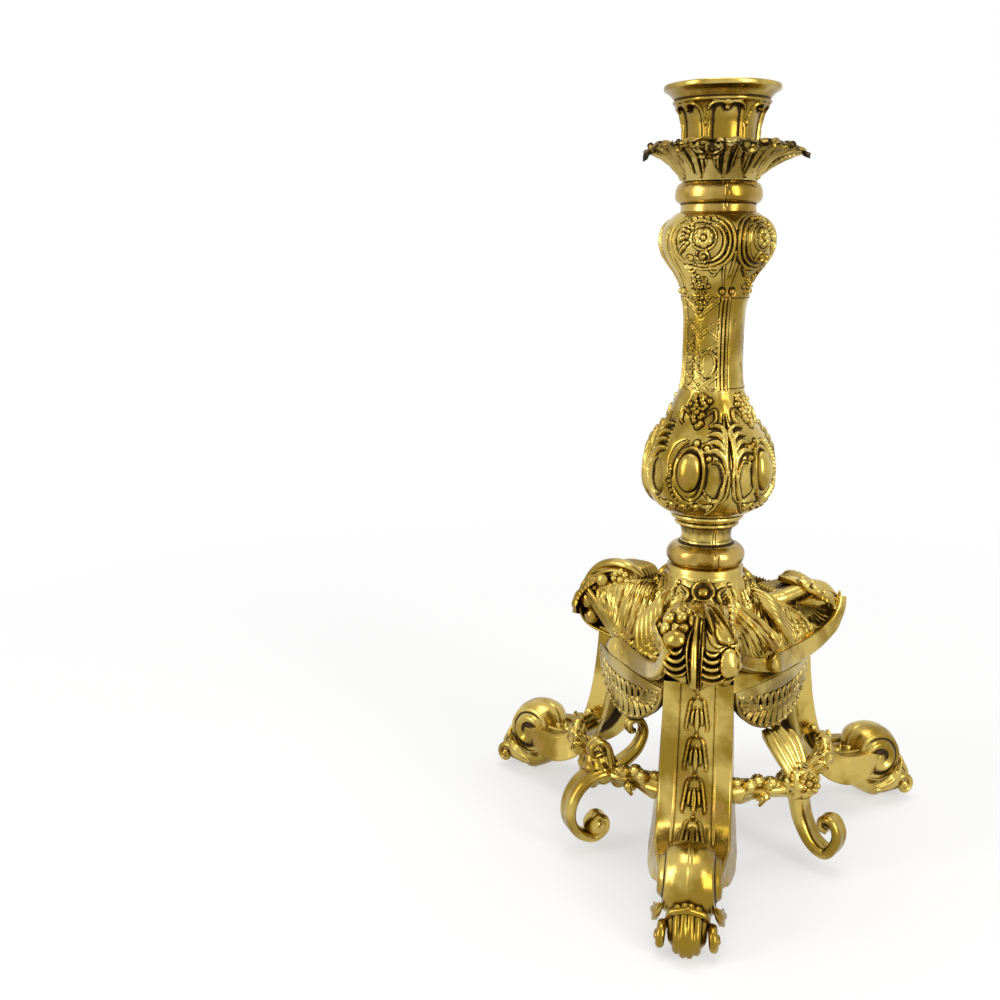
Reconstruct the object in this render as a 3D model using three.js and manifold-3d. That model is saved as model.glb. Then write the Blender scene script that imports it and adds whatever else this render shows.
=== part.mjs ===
// A tripod candlestick of cast, chased and gilded brass, about 305 mm tall.
// Every casting is a separate solid. A threaded rod draws the candle cup, the drip pan,
// the collar, the stem and the lower ring down on the base; the legs are screwed on below.
// Millimetres, +Z up, table at z = 0, the front leg points along -Y.

import * as THREE from 'three';
import { mergeVertices } from 'three/addons/utils/BufferGeometryUtils.js';
import Module from 'manifold-3d';

const wasm = await Module();
wasm.setup();

// ------------------------------------------------------------------ driving dimensions

const CLEARANCE = 0.3; // play between castings that meet on a curved or cut face
const FRONT = -90; // azimuth of the front leg, degrees
const LEG_COUNT = 3;

// Stack on the axis, each height measured on its own piece.
const BODY_HEIGHT = 41; // leg seat to the top of the base
const LOWER_RING_HEIGHT = 8.5;
const STEM_HEIGHT = 132.5;
const COLLAR_HEIGHT = 11;
const PAN_FLOOR = 2.5; // thickness of the pan under the cup
const CUP_HEIGHT = 33.5;

// Threaded rod through the stack, with its nut and washer under the base.
const ROD_RADIUS = 3;
const ROD_TAIL = 3; // rod showing below the nut
const ROD_GRIP = 8; // rod screwed into the cup
const NUT_ACROSS_FLATS = 10;
const NUT_HEIGHT = 5;
const WASHER_RADIUS = 9;
const WASHER_THICKNESS = 1.6;

// Candle cup.
const SOCKET_RADIUS = 11.3; // takes a 22 mm candle
const SOCKET_DEPTH = 21;
const SOCKET_DRAFT = 0.3; // radius lost from mouth to floor
const CUP_FOOT_RADIUS = 12.4;
const CUP_BODY_RADIUS = 14.6;
const CUP_STEP_RADIUS = 17;
const CUP_RIM_RADIUS = 22.3;
const CUP_RIM_BAND = 2.6; // height of the rim's upright edge
const CUP_RIM_FLARE = 8; // height of the flare under the band
const CUP_LIP_WIDTH = 2.6; // flat top of the rim
const CUP_PANELS = 6;
const PANEL_WIDTH = 11.4;
const PANEL_DEPTH = 1.6;
const PANEL_SILL = 4.5; // above the cup's foot
const PANEL_HEIGHT = 18.5;

// Drip pan, a dished leaf rosette.
const PAN_SEAT_RADIUS = 14.5;
const PAN_RADIUS = 27;
const PAN_RISE = 13; // seat to the leaf tips
const PAN_WALL = 2;
const PAN_LOBES = 12;
const PAN_LOBE_DEPTH = 1.4;
const PAN_LEAF_REACH = 6.5; // the two long side leaves stand this far out of the rest
const PAN_LEAF_SPREAD = 11; // half angle of a long leaf, degrees

// Collar and lower ring.
const COLLAR_RADIUS = 16.8;
const COLLAR_NECK_RADIUS = 14.7;
const COLLAR_NECK_HEIGHT = 3.4;
const LOWER_RING_RADIUS = 15.7;
const LOWER_RING_NECK_RADIUS = 13.2;

// Baluster stem: knop, shaft and bulb, with four faces between smooth corners. Neighbouring
// faces are mirror images: a ring on the knop, a cabochon between two oval frames on the bulb.
const STEM_TOP_RADIUS = 17;
const KNOP_RADIUS = 22.4;
const KNOP_HEIGHT = 31; // stem top to the foot of the knop
const SHAFT_RADIUS = 12.4;
const BULB_RADIUS = 26.6;
const BULB_BASE = 9; // stem foot to the fillet under the bulb
const BULB_HEIGHT = 53;
const STEM_FOOT_RADIUS = 10.6;
const STEM_WALL = 3.5;
const STEM_CROWN = 5; // solid ends round the rod
const STEM_FACES = 4;
const STEM_CORNER = -69.5; // azimuth of the first corner
const CORNER_DEPTH = 0.04; // how far a corner lies back, share of the radius
const CORNER_SPREAD = 12; // half angle, degrees
const RING_RADIUS = 11.5; // on the knop
const RING_OFFSET = 3; // beside the middle of its face
const CABOCHON_HEIGHT = 15;
const CABOCHON_WIDTH = 9;
const CABOCHON_OFFSET = 3.5;
const CABOCHON_PROUD = 2;
const FRAME_HEIGHT = 16; // oval frames on the bulb
const FRAME_WIDTH = 9;
const FRAME_OFFSETS = [-12.5, 13.5];
const FRAME_DROP = 3; // middle of the frames below the cabochon's
const MOULDING_WIDTH = 3.6; // of rings and frames
const MOULDING_PROUD = 1.1;

// Base body: a hollow three-cornered dome whose corners roll out into volutes.
const BODY_TOP_RADIUS = 15.6;
const BODY_NECK_HEIGHT = 4;
const BODY_SIDE_RADIUS = 38.5; // middle of a side, at the lower edge
const BODY_CORNER_RADIUS = 49; // corner, at the lower edge
const BODY_WALL = 3;
const BODY_CROWN = 8; // thickness at the rod
const BOSS_RADIUS = 4;
const VOLUTE_BACK = 29; // innermost point of a corner volute
const VOLUTE_REACH = 61.5; // outermost point
const VOLUTE_HALF_WIDTH = 9.5;
const VOLUTE_HOLLOW = 6; // depth of the hollow in each side of a volute
const BAND_HEIGHT = 7.4;
const BAND_RISE = 2; // its lower edge above the legs' tops
const BAND_THICKNESS = 4.4;

// Legs.
const LEG_SEAT = 76; // height of the leg's top face
const LEG_RADIUS = 47.2; // outer face at the top
const LEG_BEND_REACH = 74; // where the strap has turned level
const LEG_BEND_HEIGHT = 25.5;
const LEG_FACE_WIDTH = 27;
const LEG_SPLAY = 2.6; // how far each flange leans out in the bend
const LEG_WEB = 4;
const LEG_FLANGE_WALL = 3;
const LEG_FLANGE_TOP = 7;
const LEG_FLANGE_FOOT = 16;
const LEG_PANEL_WIDTH = 14;
const LEG_PANEL_DEPTH = 1;
const LEG_TONGUE = 16; // level plate behind the top of the strap
const LEG_TONGUE_THICKNESS = 4;
const KNOB_RADIUS = 14; // scroll on top of the foot
const KNOB_REACH = 87;
const KNOB_HEIGHT = 20;
const KNOB_WIDTH = 22;
const TOE_REACH = 111;
const TOE_WIDTH = 17;
const TOE_CURL_RADIUS = 4.4;

// Screws that hold the legs.
const SCREW_RADIUS = 2;
const SCREW_LENGTH = 12;
const SCREW_HEAD_RADIUS = 4;
const SCREW_HEAD_HEIGHT = 2.4;

// Leaf that hangs over each corner volute.
const LEAF_HALF_WIDTH = 16.5;
const LEAF_THICKNESS = 3.6;
const LEAF_WRAP = 4.4; // how far its edges fall back
const LEAF_RIB = 1.1;
const LEAF_FOLD = 0.5;
const LEAF_STANDOFF = 0.8; // between its back and the line over the volute

// Pierced apron between two legs.
const APRON_SETBACK = 1.5; // its inner face inside the base's lower edge, at the middle
const APRON_THICKNESS = 2.2;
const APRON_DROP = 19.5;
const APRON_PETALS = 7;
const PETAL_LENGTH = 9;
const PETAL_WIDTH = 3.2;
const SCALLOP_DEPTH = 1;

// Scroll bracket between two legs.
const BRACKET_STANDOFF = 2.8; // its knuckle lies this far outside the legs' faces
const BRACKET_HEIGHT = 41;
const BRACKET_SCROLL = 15; // the lower scroll stands this far out of the knuckle
const BRACKET_CREST = 17; // the upper scroll runs this far in from the knuckle
const BRACKET_CREST_RISE = 12.5;
const BRACKET_WIDTH = 9.5;
const BRACKET_THICKNESS = 6;
const BRACKET_ARM_RADIUS = 4;
const BRACKET_KNUCKLE = 7;
const BRACKET_FOOT_CLEAR = 4.5; // lowest point of the scroll above the table

// ------------------------------------------------------------------ derived heights

const BODY_TOP = LEG_SEAT + BODY_HEIGHT;
const STEM_FOOT = BODY_TOP + LOWER_RING_HEIGHT;
const STEM_TOP = STEM_FOOT + STEM_HEIGHT;
const PAN_SEAT = STEM_TOP + COLLAR_HEIGHT;
const CUP_FOOT = PAN_SEAT + PAN_FLOOR;
const CUP_TOP = CUP_FOOT + CUP_HEIGHT;
const ROD_BORE = ROD_RADIUS + CLEARANCE;
const CROWN_UNDERSIDE = BODY_TOP - BODY_CROWN;
const NUT_TOP = CROWN_UNDERSIDE - WASHER_THICKNESS;
const BRACKET_RADIUS = LEG_RADIUS + BRACKET_STANDOFF;

// ------------------------------------------------------------------ finishes

const FINISHES = {
  gilt: { color: 0xd2a63c, roughness: 0.28, metalness: 1 },
  gilt_worn: { color: 0xc48a3c, roughness: 0.34, metalness: 1 },
  gilt_dark: { color: 0x9c7a34, roughness: 0.42, metalness: 1 },
  steel: { color: 0x85827c, roughness: 0.5, metalness: 1 },
};

// ------------------------------------------------------------------ geometry helpers

const radians = (degrees) => (degrees * Math.PI) / 180;

const clamp01 = (value) => Math.min(1, Math.max(0, value));

// Value at t along a list of [t, value] keys, eased between neighbours.
function keyed(keys, t) {
  const next = keys.findIndex(([at]) => at >= t);
  if (next === -1) return keys[keys.length - 1][1];
  if (next === 0) return keys[0][1];
  const [t0, v0] = keys[next - 1];
  const [t1, v1] = keys[next];
  return THREE.MathUtils.lerp(v0, v1, THREE.MathUtils.smoothstep(t, t0, t1));
}

// 1 at an azimuth and at its repeats round the axis, falling to 0 at the given half angle.
function angularBump(angle, centre, halfAngle, repeats) {
  const pitch = 360 / repeats;
  const away = THREE.MathUtils.euclideanModulo(angle - centre + pitch / 2, pitch) - pitch / 2;
  const share = clamp01(1 - Math.abs(away) / halfAngle);
  return share * share * (3 - 2 * share);
}

// Drops collapsed triangles and turns the faces outwards.
function tidy(geometry) {
  const bare = new THREE.BufferGeometry();
  bare.setAttribute('position', geometry.getAttribute('position'));
  bare.setIndex(geometry.getIndex());
  const merged = mergeVertices(bare, 1e-4);
  const points = merged.getAttribute('position');
  const corners = [0, 1, 2].map(() => new THREE.Vector3());
  const faces = [];
  let volume = 0;
  for (let i = 0; i < merged.index.count; i += 3) {
    const face = [0, 1, 2].map((k) => merged.index.getX(i + k));
    if (new Set(face).size < 3) continue;
    corners.forEach((corner, k) => corner.fromBufferAttribute(points, face[k]));
    volume += corners[0].dot(corners[1].cross(corners[2]));
    faces.push(face);
  }
  const outward = volume > 0 ? faces : faces.map(([a, b, c]) => [a, c, b]);
  merged.setIndex(outward.flat());
  return merged;
}

function solid(geometry) {
  const clean = tidy(geometry);
  return new wasm.Manifold(new wasm.Mesh({
    numProp: 3,
    vertProperties: new Float32Array(clean.getAttribute('position').array),
    triVerts: new Uint32Array(clean.index.array),
  }));
}

function geometryOf(body) {
  const { vertProperties, triVerts } = body.getMesh();
  const geometry = new THREE.BufferGeometry();
  geometry.setAttribute('position', new THREE.BufferAttribute(vertProperties, 3));
  geometry.setIndex(new THREE.BufferAttribute(triVerts, 1));
  return geometry;
}

const union = (bodies) => bodies.reduce((whole, body) => whole.add(body));

const cut = (body, tools) => tools.reduce((rest, tool) => rest.subtract(tool), body);

// Triangles that close a ring of points, concave or not.
function capFaces(ring, offset) {
  const normal = new THREE.Vector3();
  ring.forEach((point, i) => {
    normal.add(new THREE.Vector3().crossVectors(point, ring[(i + 1) % ring.length]));
  });
  normal.normalize();
  const helper = Math.abs(normal.z) < 0.9 ? new THREE.Vector3(0, 0, 1) : new THREE.Vector3(1, 0, 0);
  const across = new THREE.Vector3().crossVectors(helper, normal).normalize();
  const up = new THREE.Vector3().crossVectors(normal, across);
  const flat = ring.map((point) => new THREE.Vector2(point.dot(across), point.dot(up)));
  return THREE.ShapeUtils.triangulateShape(flat, []).map((face) => face.map((i) => i + offset));
}

// Skin over rings of equal point count. A looped loft joins its last ring to its first.
function loft(rings, looped = false) {
  const count = rings[0].length;
  const positions = rings.flat().flatMap((point) => point.toArray());
  const faces = [];
  const spans = looped ? rings.length : rings.length - 1;
  for (let r = 0; r < spans; r += 1) {
    const here = r * count;
    const there = ((r + 1) % rings.length) * count;
    for (let i = 0; i < count; i += 1) {
      const j = (i + 1) % count;
      faces.push([here + i, here + j, there + j], [here + i, there + j, there + i]);
    }
  }
  if (!looped) {
    const last = (rings.length - 1) * count;
    capFaces(rings[0], 0).forEach(([a, b, c]) => faces.push([c, b, a]));
    capFaces(rings[rings.length - 1], last).forEach((face) => faces.push(face));
  }
  const geometry = new THREE.BufferGeometry();
  geometry.setAttribute('position', new THREE.Float32BufferAttribute(positions, 3));
  geometry.setIndex(faces.flat());
  return geometry;
}

// Full turn of a [radius, height] profile that closes on itself.
function revolve(profile, segments) {
  const closed = [...profile, profile[0]].map(([radius, height]) => new THREE.Vector2(radius, height));
  return new THREE.LatheGeometry(closed, segments).rotateX(Math.PI / 2);
}

// Disc or cylinder standing on the plane z = base.
function cylinder(radius, base, height, sides) {
  const geometry = new THREE.CylinderGeometry(radius, radius, height, sides);
  return geometry.rotateX(Math.PI / 2).translate(0, 0, base + height / 2);
}

function block(sizes, centre) {
  return new THREE.BoxGeometry(...sizes).translate(...centre);
}

// Rounded form across a radial plane: an [x, z] outline that shrinks towards both sides.
function pillow(outline, halfWidth, { rows = 7, fullness = 2.4, grow = 0 } = {}) {
  const centre = outline.reduce(([x, z], [px, pz]) => [x + px, z + pz], [0, 0])
    .map((sum) => sum / outline.length);
  const spread = Math.max(...outline.map(([x, z]) => Math.hypot(x - centre[0], z - centre[1])));
  const swell = 1 + (2 * grow) / spread;
  const edge = 0.97;
  const rings = [];
  for (let row = 0; row < rows; row += 1) {
    const share = edge * Math.sin(((row / (rows - 1)) * 2 - 1) * (Math.PI / 2));
    const scale = (1 - Math.abs(share) ** fullness) ** (1 / fullness) * swell;
    rings.push(outline.map(([x, z]) => new THREE.Vector3(
      centre[0] + (x - centre[0]) * scale,
      share * (halfWidth + grow),
      centre[1] + (z - centre[1]) * scale,
    )));
  }
  return loft(rings);
}

// Points of a smooth closed outline through a few [x, z] knots.
function smoothOutline(knots, count) {
  const curve = new THREE.CatmullRomCurve3(knots.map(([x, z]) => new THREE.Vector3(x, 0, z)), true);
  return curve.getSpacedPoints(count).slice(0, count).map((point) => [point.x, point.z]);
}

function circleOutline(x, z, radius, count) {
  return Array.from({ length: count }, (_, i) => {
    const angle = (i / count) * Math.PI * 2;
    return [x + radius * Math.cos(angle), z + radius * Math.sin(angle)];
  });
}

// Section carried along a curve. The section's first axis follows the reference direction,
// its second the normal to it.
function sweep(curve, steps, sectionAt, reference) {
  const rings = [];
  for (let step = 0; step <= steps; step += 1) {
    const t = step / steps;
    const centre = curve.getPointAt(t);
    const tangent = curve.getTangentAt(t);
    const side = reference.clone().addScaledVector(tangent, -reference.dot(tangent)).normalize();
    const normal = new THREE.Vector3().crossVectors(side, tangent);
    rings.push(sectionAt(t).map(([a, b]) => centre.clone()
      .addScaledVector(side, a)
      .addScaledVector(normal, b)));
  }
  return loft(rings);
}

function ellipse(halfA, halfB, count) {
  return Array.from({ length: count }, (_, i) => {
    const angle = ((i + 0.5) / count) * Math.PI * 2;
    return [halfA * Math.cos(angle), halfB * Math.sin(angle)];
  });
}

const smoothCurve = (points) => new THREE.CatmullRomCurve3(
  points.map((point) => new THREE.Vector3(...point)),
);

// ------------------------------------------------------------------ scene graph

const stand = new THREE.Group();

function add(name, geometry, finish, azimuth = 0) {
  const mesh = new THREE.Mesh(tidy(geometry), new THREE.MeshStandardMaterial(FINISHES[finish]));
  mesh.name = name;
  mesh.rotation.z = radians(azimuth);
  stand.add(mesh);
}

// Azimuths of the legs, and of the gaps between them, with the names of their sides.
const CORNERS = [
  { side: 'front', azimuth: FRONT },
  { side: 'right', azimuth: FRONT + 360 / LEG_COUNT },
  { side: 'left', azimuth: FRONT + 720 / LEG_COUNT },
];
const HALF_PITCH = 180 / LEG_COUNT;
const GAPS = [
  { side: 'right', azimuth: FRONT + HALF_PITCH },
  { side: 'back', azimuth: FRONT + 3 * HALF_PITCH },
  { side: 'left', azimuth: FRONT - HALF_PITCH },
];

// ------------------------------------------------------------------ candle cup

// Arched panel tool, its flat back towards the axis, facing +X.
function panelTool() {
  const half = PANEL_WIDTH / 2;
  const spring = PANEL_SILL + PANEL_HEIGHT - half;
  const arch = new THREE.Shape();
  arch.moveTo(-half, PANEL_SILL);
  arch.lineTo(half, PANEL_SILL);
  arch.lineTo(half, spring);
  arch.absarc(0, spring, half, 0, Math.PI, false);
  const depth = CUP_RIM_RADIUS;
  return new THREE.ExtrudeGeometry(arch, { depth, bevelEnabled: false, curveSegments: 3 })
    .rotateX(Math.PI / 2)
    .rotateZ(Math.PI / 2)
    .translate(CUP_BODY_RADIUS - PANEL_DEPTH, 0, CUP_FOOT);
}

function candleCup() {
  const flareFoot = CUP_TOP - CUP_RIM_BAND - CUP_RIM_FLARE;
  const floor = CUP_TOP - SOCKET_DEPTH;
  const innerLip = CUP_RIM_RADIUS - CUP_LIP_WIDTH;
  const flare = Array.from({ length: 4 }, (_, i) => {
    const share = i / 3;
    const eased = 1 - Math.cos((share * Math.PI) / 2);
    const radius = THREE.MathUtils.lerp(CUP_BODY_RADIUS, CUP_STEP_RADIUS, eased);
    return [radius, flareFoot + share * CUP_RIM_FLARE * 0.55];
  });
  const profile = [
    [0, CUP_FOOT],
    [CUP_FOOT_RADIUS, CUP_FOOT],
    [CUP_BODY_RADIUS, CUP_FOOT + PANEL_SILL],
    ...flare,
    [CUP_STEP_RADIUS + 1.4, flareFoot + CUP_RIM_FLARE * 0.62],
    [CUP_RIM_RADIUS - 1.6, flareFoot + CUP_RIM_FLARE * 0.88],
    [CUP_RIM_RADIUS, CUP_TOP - CUP_RIM_BAND],
    [CUP_RIM_RADIUS, CUP_TOP - 0.5],
    [CUP_RIM_RADIUS - 0.5, CUP_TOP],
    [innerLip, CUP_TOP],
    [SOCKET_RADIUS + 1, CUP_TOP - 2.2],
    [SOCKET_RADIUS, CUP_TOP - 3.6],
    [SOCKET_RADIUS - SOCKET_DRAFT, floor],
    [0, floor],
  ];
  const panels = Array.from({ length: CUP_PANELS }, (_, i) => (
    solid(panelTool().rotateZ(radians(FRONT + (i * 360) / CUP_PANELS)))
  ));
  const rodHole = solid(cylinder(ROD_BORE, CUP_FOOT - 1, ROD_GRIP + 1 + CLEARANCE, 16));
  return geometryOf(cut(solid(revolve(profile, 24)), [...panels, rodHole]));
}

add('candle_cup', candleCup(), 'gilt');

// ------------------------------------------------------------------ drip pan

function dripPan() {
  const around = 44;
  const seat = PAN_SEAT;
  const reach = (angle) => {
    const leaf = angularBump(angle, 0, PAN_LEAF_SPREAD, 2);
    const lobe = Math.abs(Math.cos(radians((angle * PAN_LOBES) / 2)));
    return PAN_RADIUS + PAN_LOBE_DEPTH * (lobe - 0.5) * 2 * (1 - leaf) + PAN_LEAF_REACH * leaf;
  };
  const droop = (angle) => 2 * angularBump(angle, 0, PAN_LEAF_SPREAD, 2);
  // Underside from the rod hole out to the edge, then the upper side back in.
  const rows = [
    (angle) => [ROD_BORE, seat],
    (angle) => [PAN_SEAT_RADIUS, seat],
    (angle) => [PAN_SEAT_RADIUS + 4, seat + PAN_RISE * 0.3],
    (angle) => [THREE.MathUtils.lerp(PAN_SEAT_RADIUS + 4, reach(angle), 0.6), seat + PAN_RISE * 0.72],
    (angle) => [reach(angle), seat + PAN_RISE - PAN_WALL * 0.8 - droop(angle)],
    (angle) => [reach(angle) - 0.6, seat + PAN_RISE - droop(angle)],
    (angle) => [THREE.MathUtils.lerp(PAN_SEAT_RADIUS + 4, reach(angle), 0.5), seat + PAN_RISE * 0.82],
    (angle) => [PAN_SEAT_RADIUS + 3.2, seat + PAN_RISE * 0.3 + PAN_WALL],
    (angle) => [PAN_SEAT_RADIUS - 0.5, seat + PAN_FLOOR],
    (angle) => [ROD_BORE, seat + PAN_FLOOR],
  ];
  const rings = rows.map((row) => Array.from({ length: around }, (_, i) => {
    const angle = (i * 360) / around;
    const [radius, height] = row(angle);
    return new THREE.Vector3(radius * Math.cos(radians(angle)), radius * Math.sin(radians(angle)), height);
  }));
  return loft(rings, true);
}

add('drip_pan', dripPan(), 'gilt_dark');

// ------------------------------------------------------------------ collar and lower ring

// Half-round bead from one height to another, bulging from a neck radius to a full radius.
function bead(neck, radius, from, to, steps) {
  return Array.from({ length: steps + 1 }, (_, i) => {
    const angle = -Math.PI / 2 + (i / steps) * Math.PI;
    return [neck + (radius - neck) * Math.cos(angle), (from + to) / 2 + ((to - from) / 2) * Math.sin(angle)];
  });
}

function collarRing() {
  const beadFoot = STEM_TOP + COLLAR_NECK_HEIGHT;
  const profile = [
    [ROD_BORE, STEM_TOP],
    [COLLAR_NECK_RADIUS, STEM_TOP],
    ...bead(COLLAR_NECK_RADIUS - 0.8, COLLAR_RADIUS, beadFoot, PAN_SEAT, 5),
    [ROD_BORE, PAN_SEAT],
  ];
  return revolve(profile, 24);
}

add('collar_ring', collarRing(), 'gilt_worn');

function lowerRing() {
  const profile = [
    [ROD_BORE, BODY_TOP],
    ...bead(LOWER_RING_NECK_RADIUS, LOWER_RING_RADIUS, BODY_TOP, STEM_FOOT, 5),
    [ROD_BORE, STEM_FOOT],
  ];
  return revolve(profile, 24);
}

add('lower_ring', lowerRing(), 'gilt_worn');

// ------------------------------------------------------------------ baluster stem

const STEM_SIDES = 20;

// Outside of the stem: [radius, height, how far the corners lie back].
function stemRows() {
  const bulb = (share) => STEM_FOOT + BULB_BASE + share * BULB_HEIGHT;
  const knop = (share) => STEM_TOP - (1 - share) * KNOP_HEIGHT;
  const fillet = STEM_FOOT_RADIUS + 2.4;
  return [
    [STEM_FOOT_RADIUS + 1.6, STEM_FOOT, 0],
    [STEM_FOOT_RADIUS, STEM_FOOT + BULB_BASE * 0.4, 0],
    [fillet, bulb(0), 0],
    [BULB_RADIUS * 0.66, bulb(0.1), 0.4],
    [BULB_RADIUS * 0.88, bulb(0.21), 0.8],
    [BULB_RADIUS, bulb(0.38), 1],
    [BULB_RADIUS * 0.97, bulb(0.54), 1],
    [BULB_RADIUS * 0.84, bulb(0.7), 1],
    [BULB_RADIUS * 0.63, bulb(0.85), 0.7],
    [SHAFT_RADIUS + 0.4, bulb(1.05), 0.3],
    [SHAFT_RADIUS - 0.3, (bulb(1) + knop(0)) / 2, 0.2],
    [SHAFT_RADIUS + 1.4, knop(0), 0.5],
    [KNOP_RADIUS * 0.76, knop(0.26), 1],
    [KNOP_RADIUS * 0.96, knop(0.48), 1],
    [KNOP_RADIUS, knop(0.64), 1],
    [KNOP_RADIUS * 0.96, knop(0.8), 1],
    [KNOP_RADIUS * 0.86, knop(0.93), 0.7],
    [STEM_TOP_RADIUS, STEM_TOP, 0],
  ];
}

// Half-round oval moulding laid on the stem. The centre and the half sizes are millimetres on
// the surface, beside an azimuth and up from the table.
function stemOval(radiusAt, azimuth, [beside, height], [halfWidth, halfHeight], steps) {
  const girth = radiusAt(height);
  const section = [[-0.5, -0.7], [0, 1], [0.5, -0.7]];
  return loft(Array.from({ length: steps }, (_, i) => {
    const turn = (i / steps) * Math.PI * 2;
    return section.map(([across, lift]) => {
      const spread = across * MOULDING_WIDTH;
      const level = height + (halfHeight + spread) * Math.sin(turn);
      const angle = radians(azimuth) + (beside + (halfWidth + spread) * Math.cos(turn)) / girth;
      const radius = radiusAt(level) + lift * MOULDING_PROUD;
      return new THREE.Vector3(radius * Math.cos(angle), radius * Math.sin(angle), level);
    });
  }), true);
}

function stemCabochon(radiusAt, azimuth, [beside, height]) {
  const radius = radiusAt(height);
  const oval = ellipse(CABOCHON_PROUD * 2, CABOCHON_HEIGHT / 2, 8)
    .map(([x, z]) => [radius - CABOCHON_PROUD + x, height + z]);
  const turn = radians(azimuth) + beside / radius;
  return pillow(oval, CABOCHON_WIDTH / 2, { rows: 5, fullness: 2 }).rotateZ(turn);
}

function balusterStem() {
  const rows = stemRows();
  const radiusAt = (height) => {
    const next = Math.max(1, rows.findIndex(([, level]) => level >= height));
    const [[r0, z0], [r1, z1]] = [rows[next - 1], rows[next]];
    return THREE.MathUtils.mapLinear(height, z0, z1, r0, r1);
  };
  const outside = rows.map(([radius, height, depth]) => Array.from({ length: STEM_SIDES }, (_, i) => {
    const angle = STEM_CORNER + (i * 360) / STEM_SIDES;
    const corner = angularBump(angle, STEM_CORNER, CORNER_SPREAD, STEM_FACES);
    const here = radius * (1 - CORNER_DEPTH * depth * corner);
    return new THREE.Vector3(here * Math.cos(radians(angle)), here * Math.sin(radians(angle)), height);
  }));
  const knopFoot = STEM_TOP - KNOP_HEIGHT;
  const bulbFoot = STEM_FOOT + BULB_BASE;
  const throat = STEM_FOOT_RADIUS - STEM_WALL;
  // Core of the casting: a hollow that follows the outside, and a rod hole through both ends.
  const core = [
    [0, STEM_TOP - STEM_CROWN],
    [STEM_TOP_RADIUS - STEM_WALL, STEM_TOP - STEM_CROWN],
    [KNOP_RADIUS - STEM_WALL - 1.5, knopFoot + KNOP_HEIGHT * 0.6],
    [SHAFT_RADIUS - STEM_WALL, knopFoot],
    [SHAFT_RADIUS - STEM_WALL, bulbFoot + BULB_HEIGHT],
    [BULB_RADIUS - STEM_WALL - 1.5, bulbFoot + BULB_HEIGHT * 0.45],
    [throat, bulbFoot],
    [throat, STEM_FOOT + STEM_CROWN],
    [0, STEM_FOOT + STEM_CROWN],
  ];
  const tools = [revolve(core, 12), cylinder(ROD_BORE, STEM_FOOT - 1, STEM_HEIGHT + 2, 12)];
  const ornaments = [];
  const jewel = bulbFoot + BULB_HEIGHT * 0.47;
  const eye = knopFoot + KNOP_HEIGHT * 0.62;
  for (let face = 0; face < STEM_FACES; face += 1) {
    const azimuth = STEM_CORNER + ((face - 0.5) * 360) / STEM_FACES;
    const mirror = face % 2 === 0 ? 1 : -1;
    const ring = [mirror * RING_OFFSET, eye];
    const cabochon = [mirror * CABOCHON_OFFSET, jewel];
    ornaments.push(
      stemOval(radiusAt, azimuth, ring, [RING_RADIUS, RING_RADIUS * 0.8], 10),
      stemCabochon(radiusAt, azimuth, cabochon),
      ...FRAME_OFFSETS.map((beside) => {
        const middle = [mirror * beside, jewel - FRAME_DROP];
        return stemOval(radiusAt, azimuth, middle, [FRAME_WIDTH / 2, FRAME_HEIGHT / 2], 8);
      }),
    );
  }
  const whole = union([solid(loft(outside)), ...ornaments.map(solid)]);
  return geometryOf(cut(whole, tools.map(solid)));
}

add('baluster_stem', balusterStem(), 'gilt');

// ------------------------------------------------------------------ legs

// Line of the leg's outer face in its radial plane, from the top down to the toe.
function legLine() {
  const at = (x, z) => new THREE.Vector3(x, 0, z);
  const line = new THREE.CurvePath();
  const bendStart = at(LEG_RADIUS, LEG_SEAT);
  const bendEnd = at(LEG_BEND_REACH, LEG_BEND_HEIGHT);
  const toe = at(KNOB_REACH + KNOB_RADIUS * 0.85, KNOB_HEIGHT * 0.7);
  line.add(new THREE.CubicBezierCurve3(
    bendStart,
    at(LEG_RADIUS + 0.3, LEG_SEAT * 0.5),
    at(LEG_BEND_REACH - 20, LEG_BEND_HEIGHT),
    bendEnd,
  ));
  line.add(new THREE.QuadraticBezierCurve3(bendEnd, at(KNOB_REACH + 4, LEG_BEND_HEIGHT), toe));
  return line;
}

// Depth of the flanges and their lean, from the top of the leg to its toe.
const FLANGE_KEYS = [
  [0, LEG_FLANGE_TOP],
  [0.45, LEG_FLANGE_TOP + 4],
  [0.75, LEG_FLANGE_FOOT],
  [1, LEG_FLANGE_FOOT - 3],
];
const SPLAY_KEYS = [[0, 0], [0.4, 0.3], [0.62, 1], [0.82, 0.5], [1, -1.2]];
const FACE_KEYS = [[0, -0.4], [0.4, 1], [0.7, 1.6], [1, -6]];

function legSection(t) {
  const half = (LEG_FACE_WIDTH + keyed(FACE_KEYS, t)) / 2;
  const base = half + LEG_SPLAY * keyed(SPLAY_KEYS, t);
  return { half, base, depth: keyed(FLANGE_KEYS, t) };
}

const LATERAL = new THREE.Vector3(0, 1, 0);
const LEG_STEPS = 9;

// Channel-shaped strap: face with a sunk panel, two flanges behind it.
function legStrap() {
  const panel = LEG_PANEL_WIDTH / 2;
  return sweep(legLine(), LEG_STEPS, (t) => {
    const { half, base, depth } = legSection(t);
    return [
      [-base, depth],
      [-half, 0],
      [-panel, 0],
      [-panel + LEG_PANEL_DEPTH, LEG_PANEL_DEPTH],
      [panel - LEG_PANEL_DEPTH, LEG_PANEL_DEPTH],
      [panel, 0],
      [half, 0],
      [base, depth],
      [base - LEG_FLANGE_WALL, depth],
      [half - LEG_FLANGE_WALL, LEG_WEB],
      [LEG_FLANGE_WALL - half, LEG_WEB],
      [LEG_FLANGE_WALL - base, depth],
    ];
  }, LATERAL);
}

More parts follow.
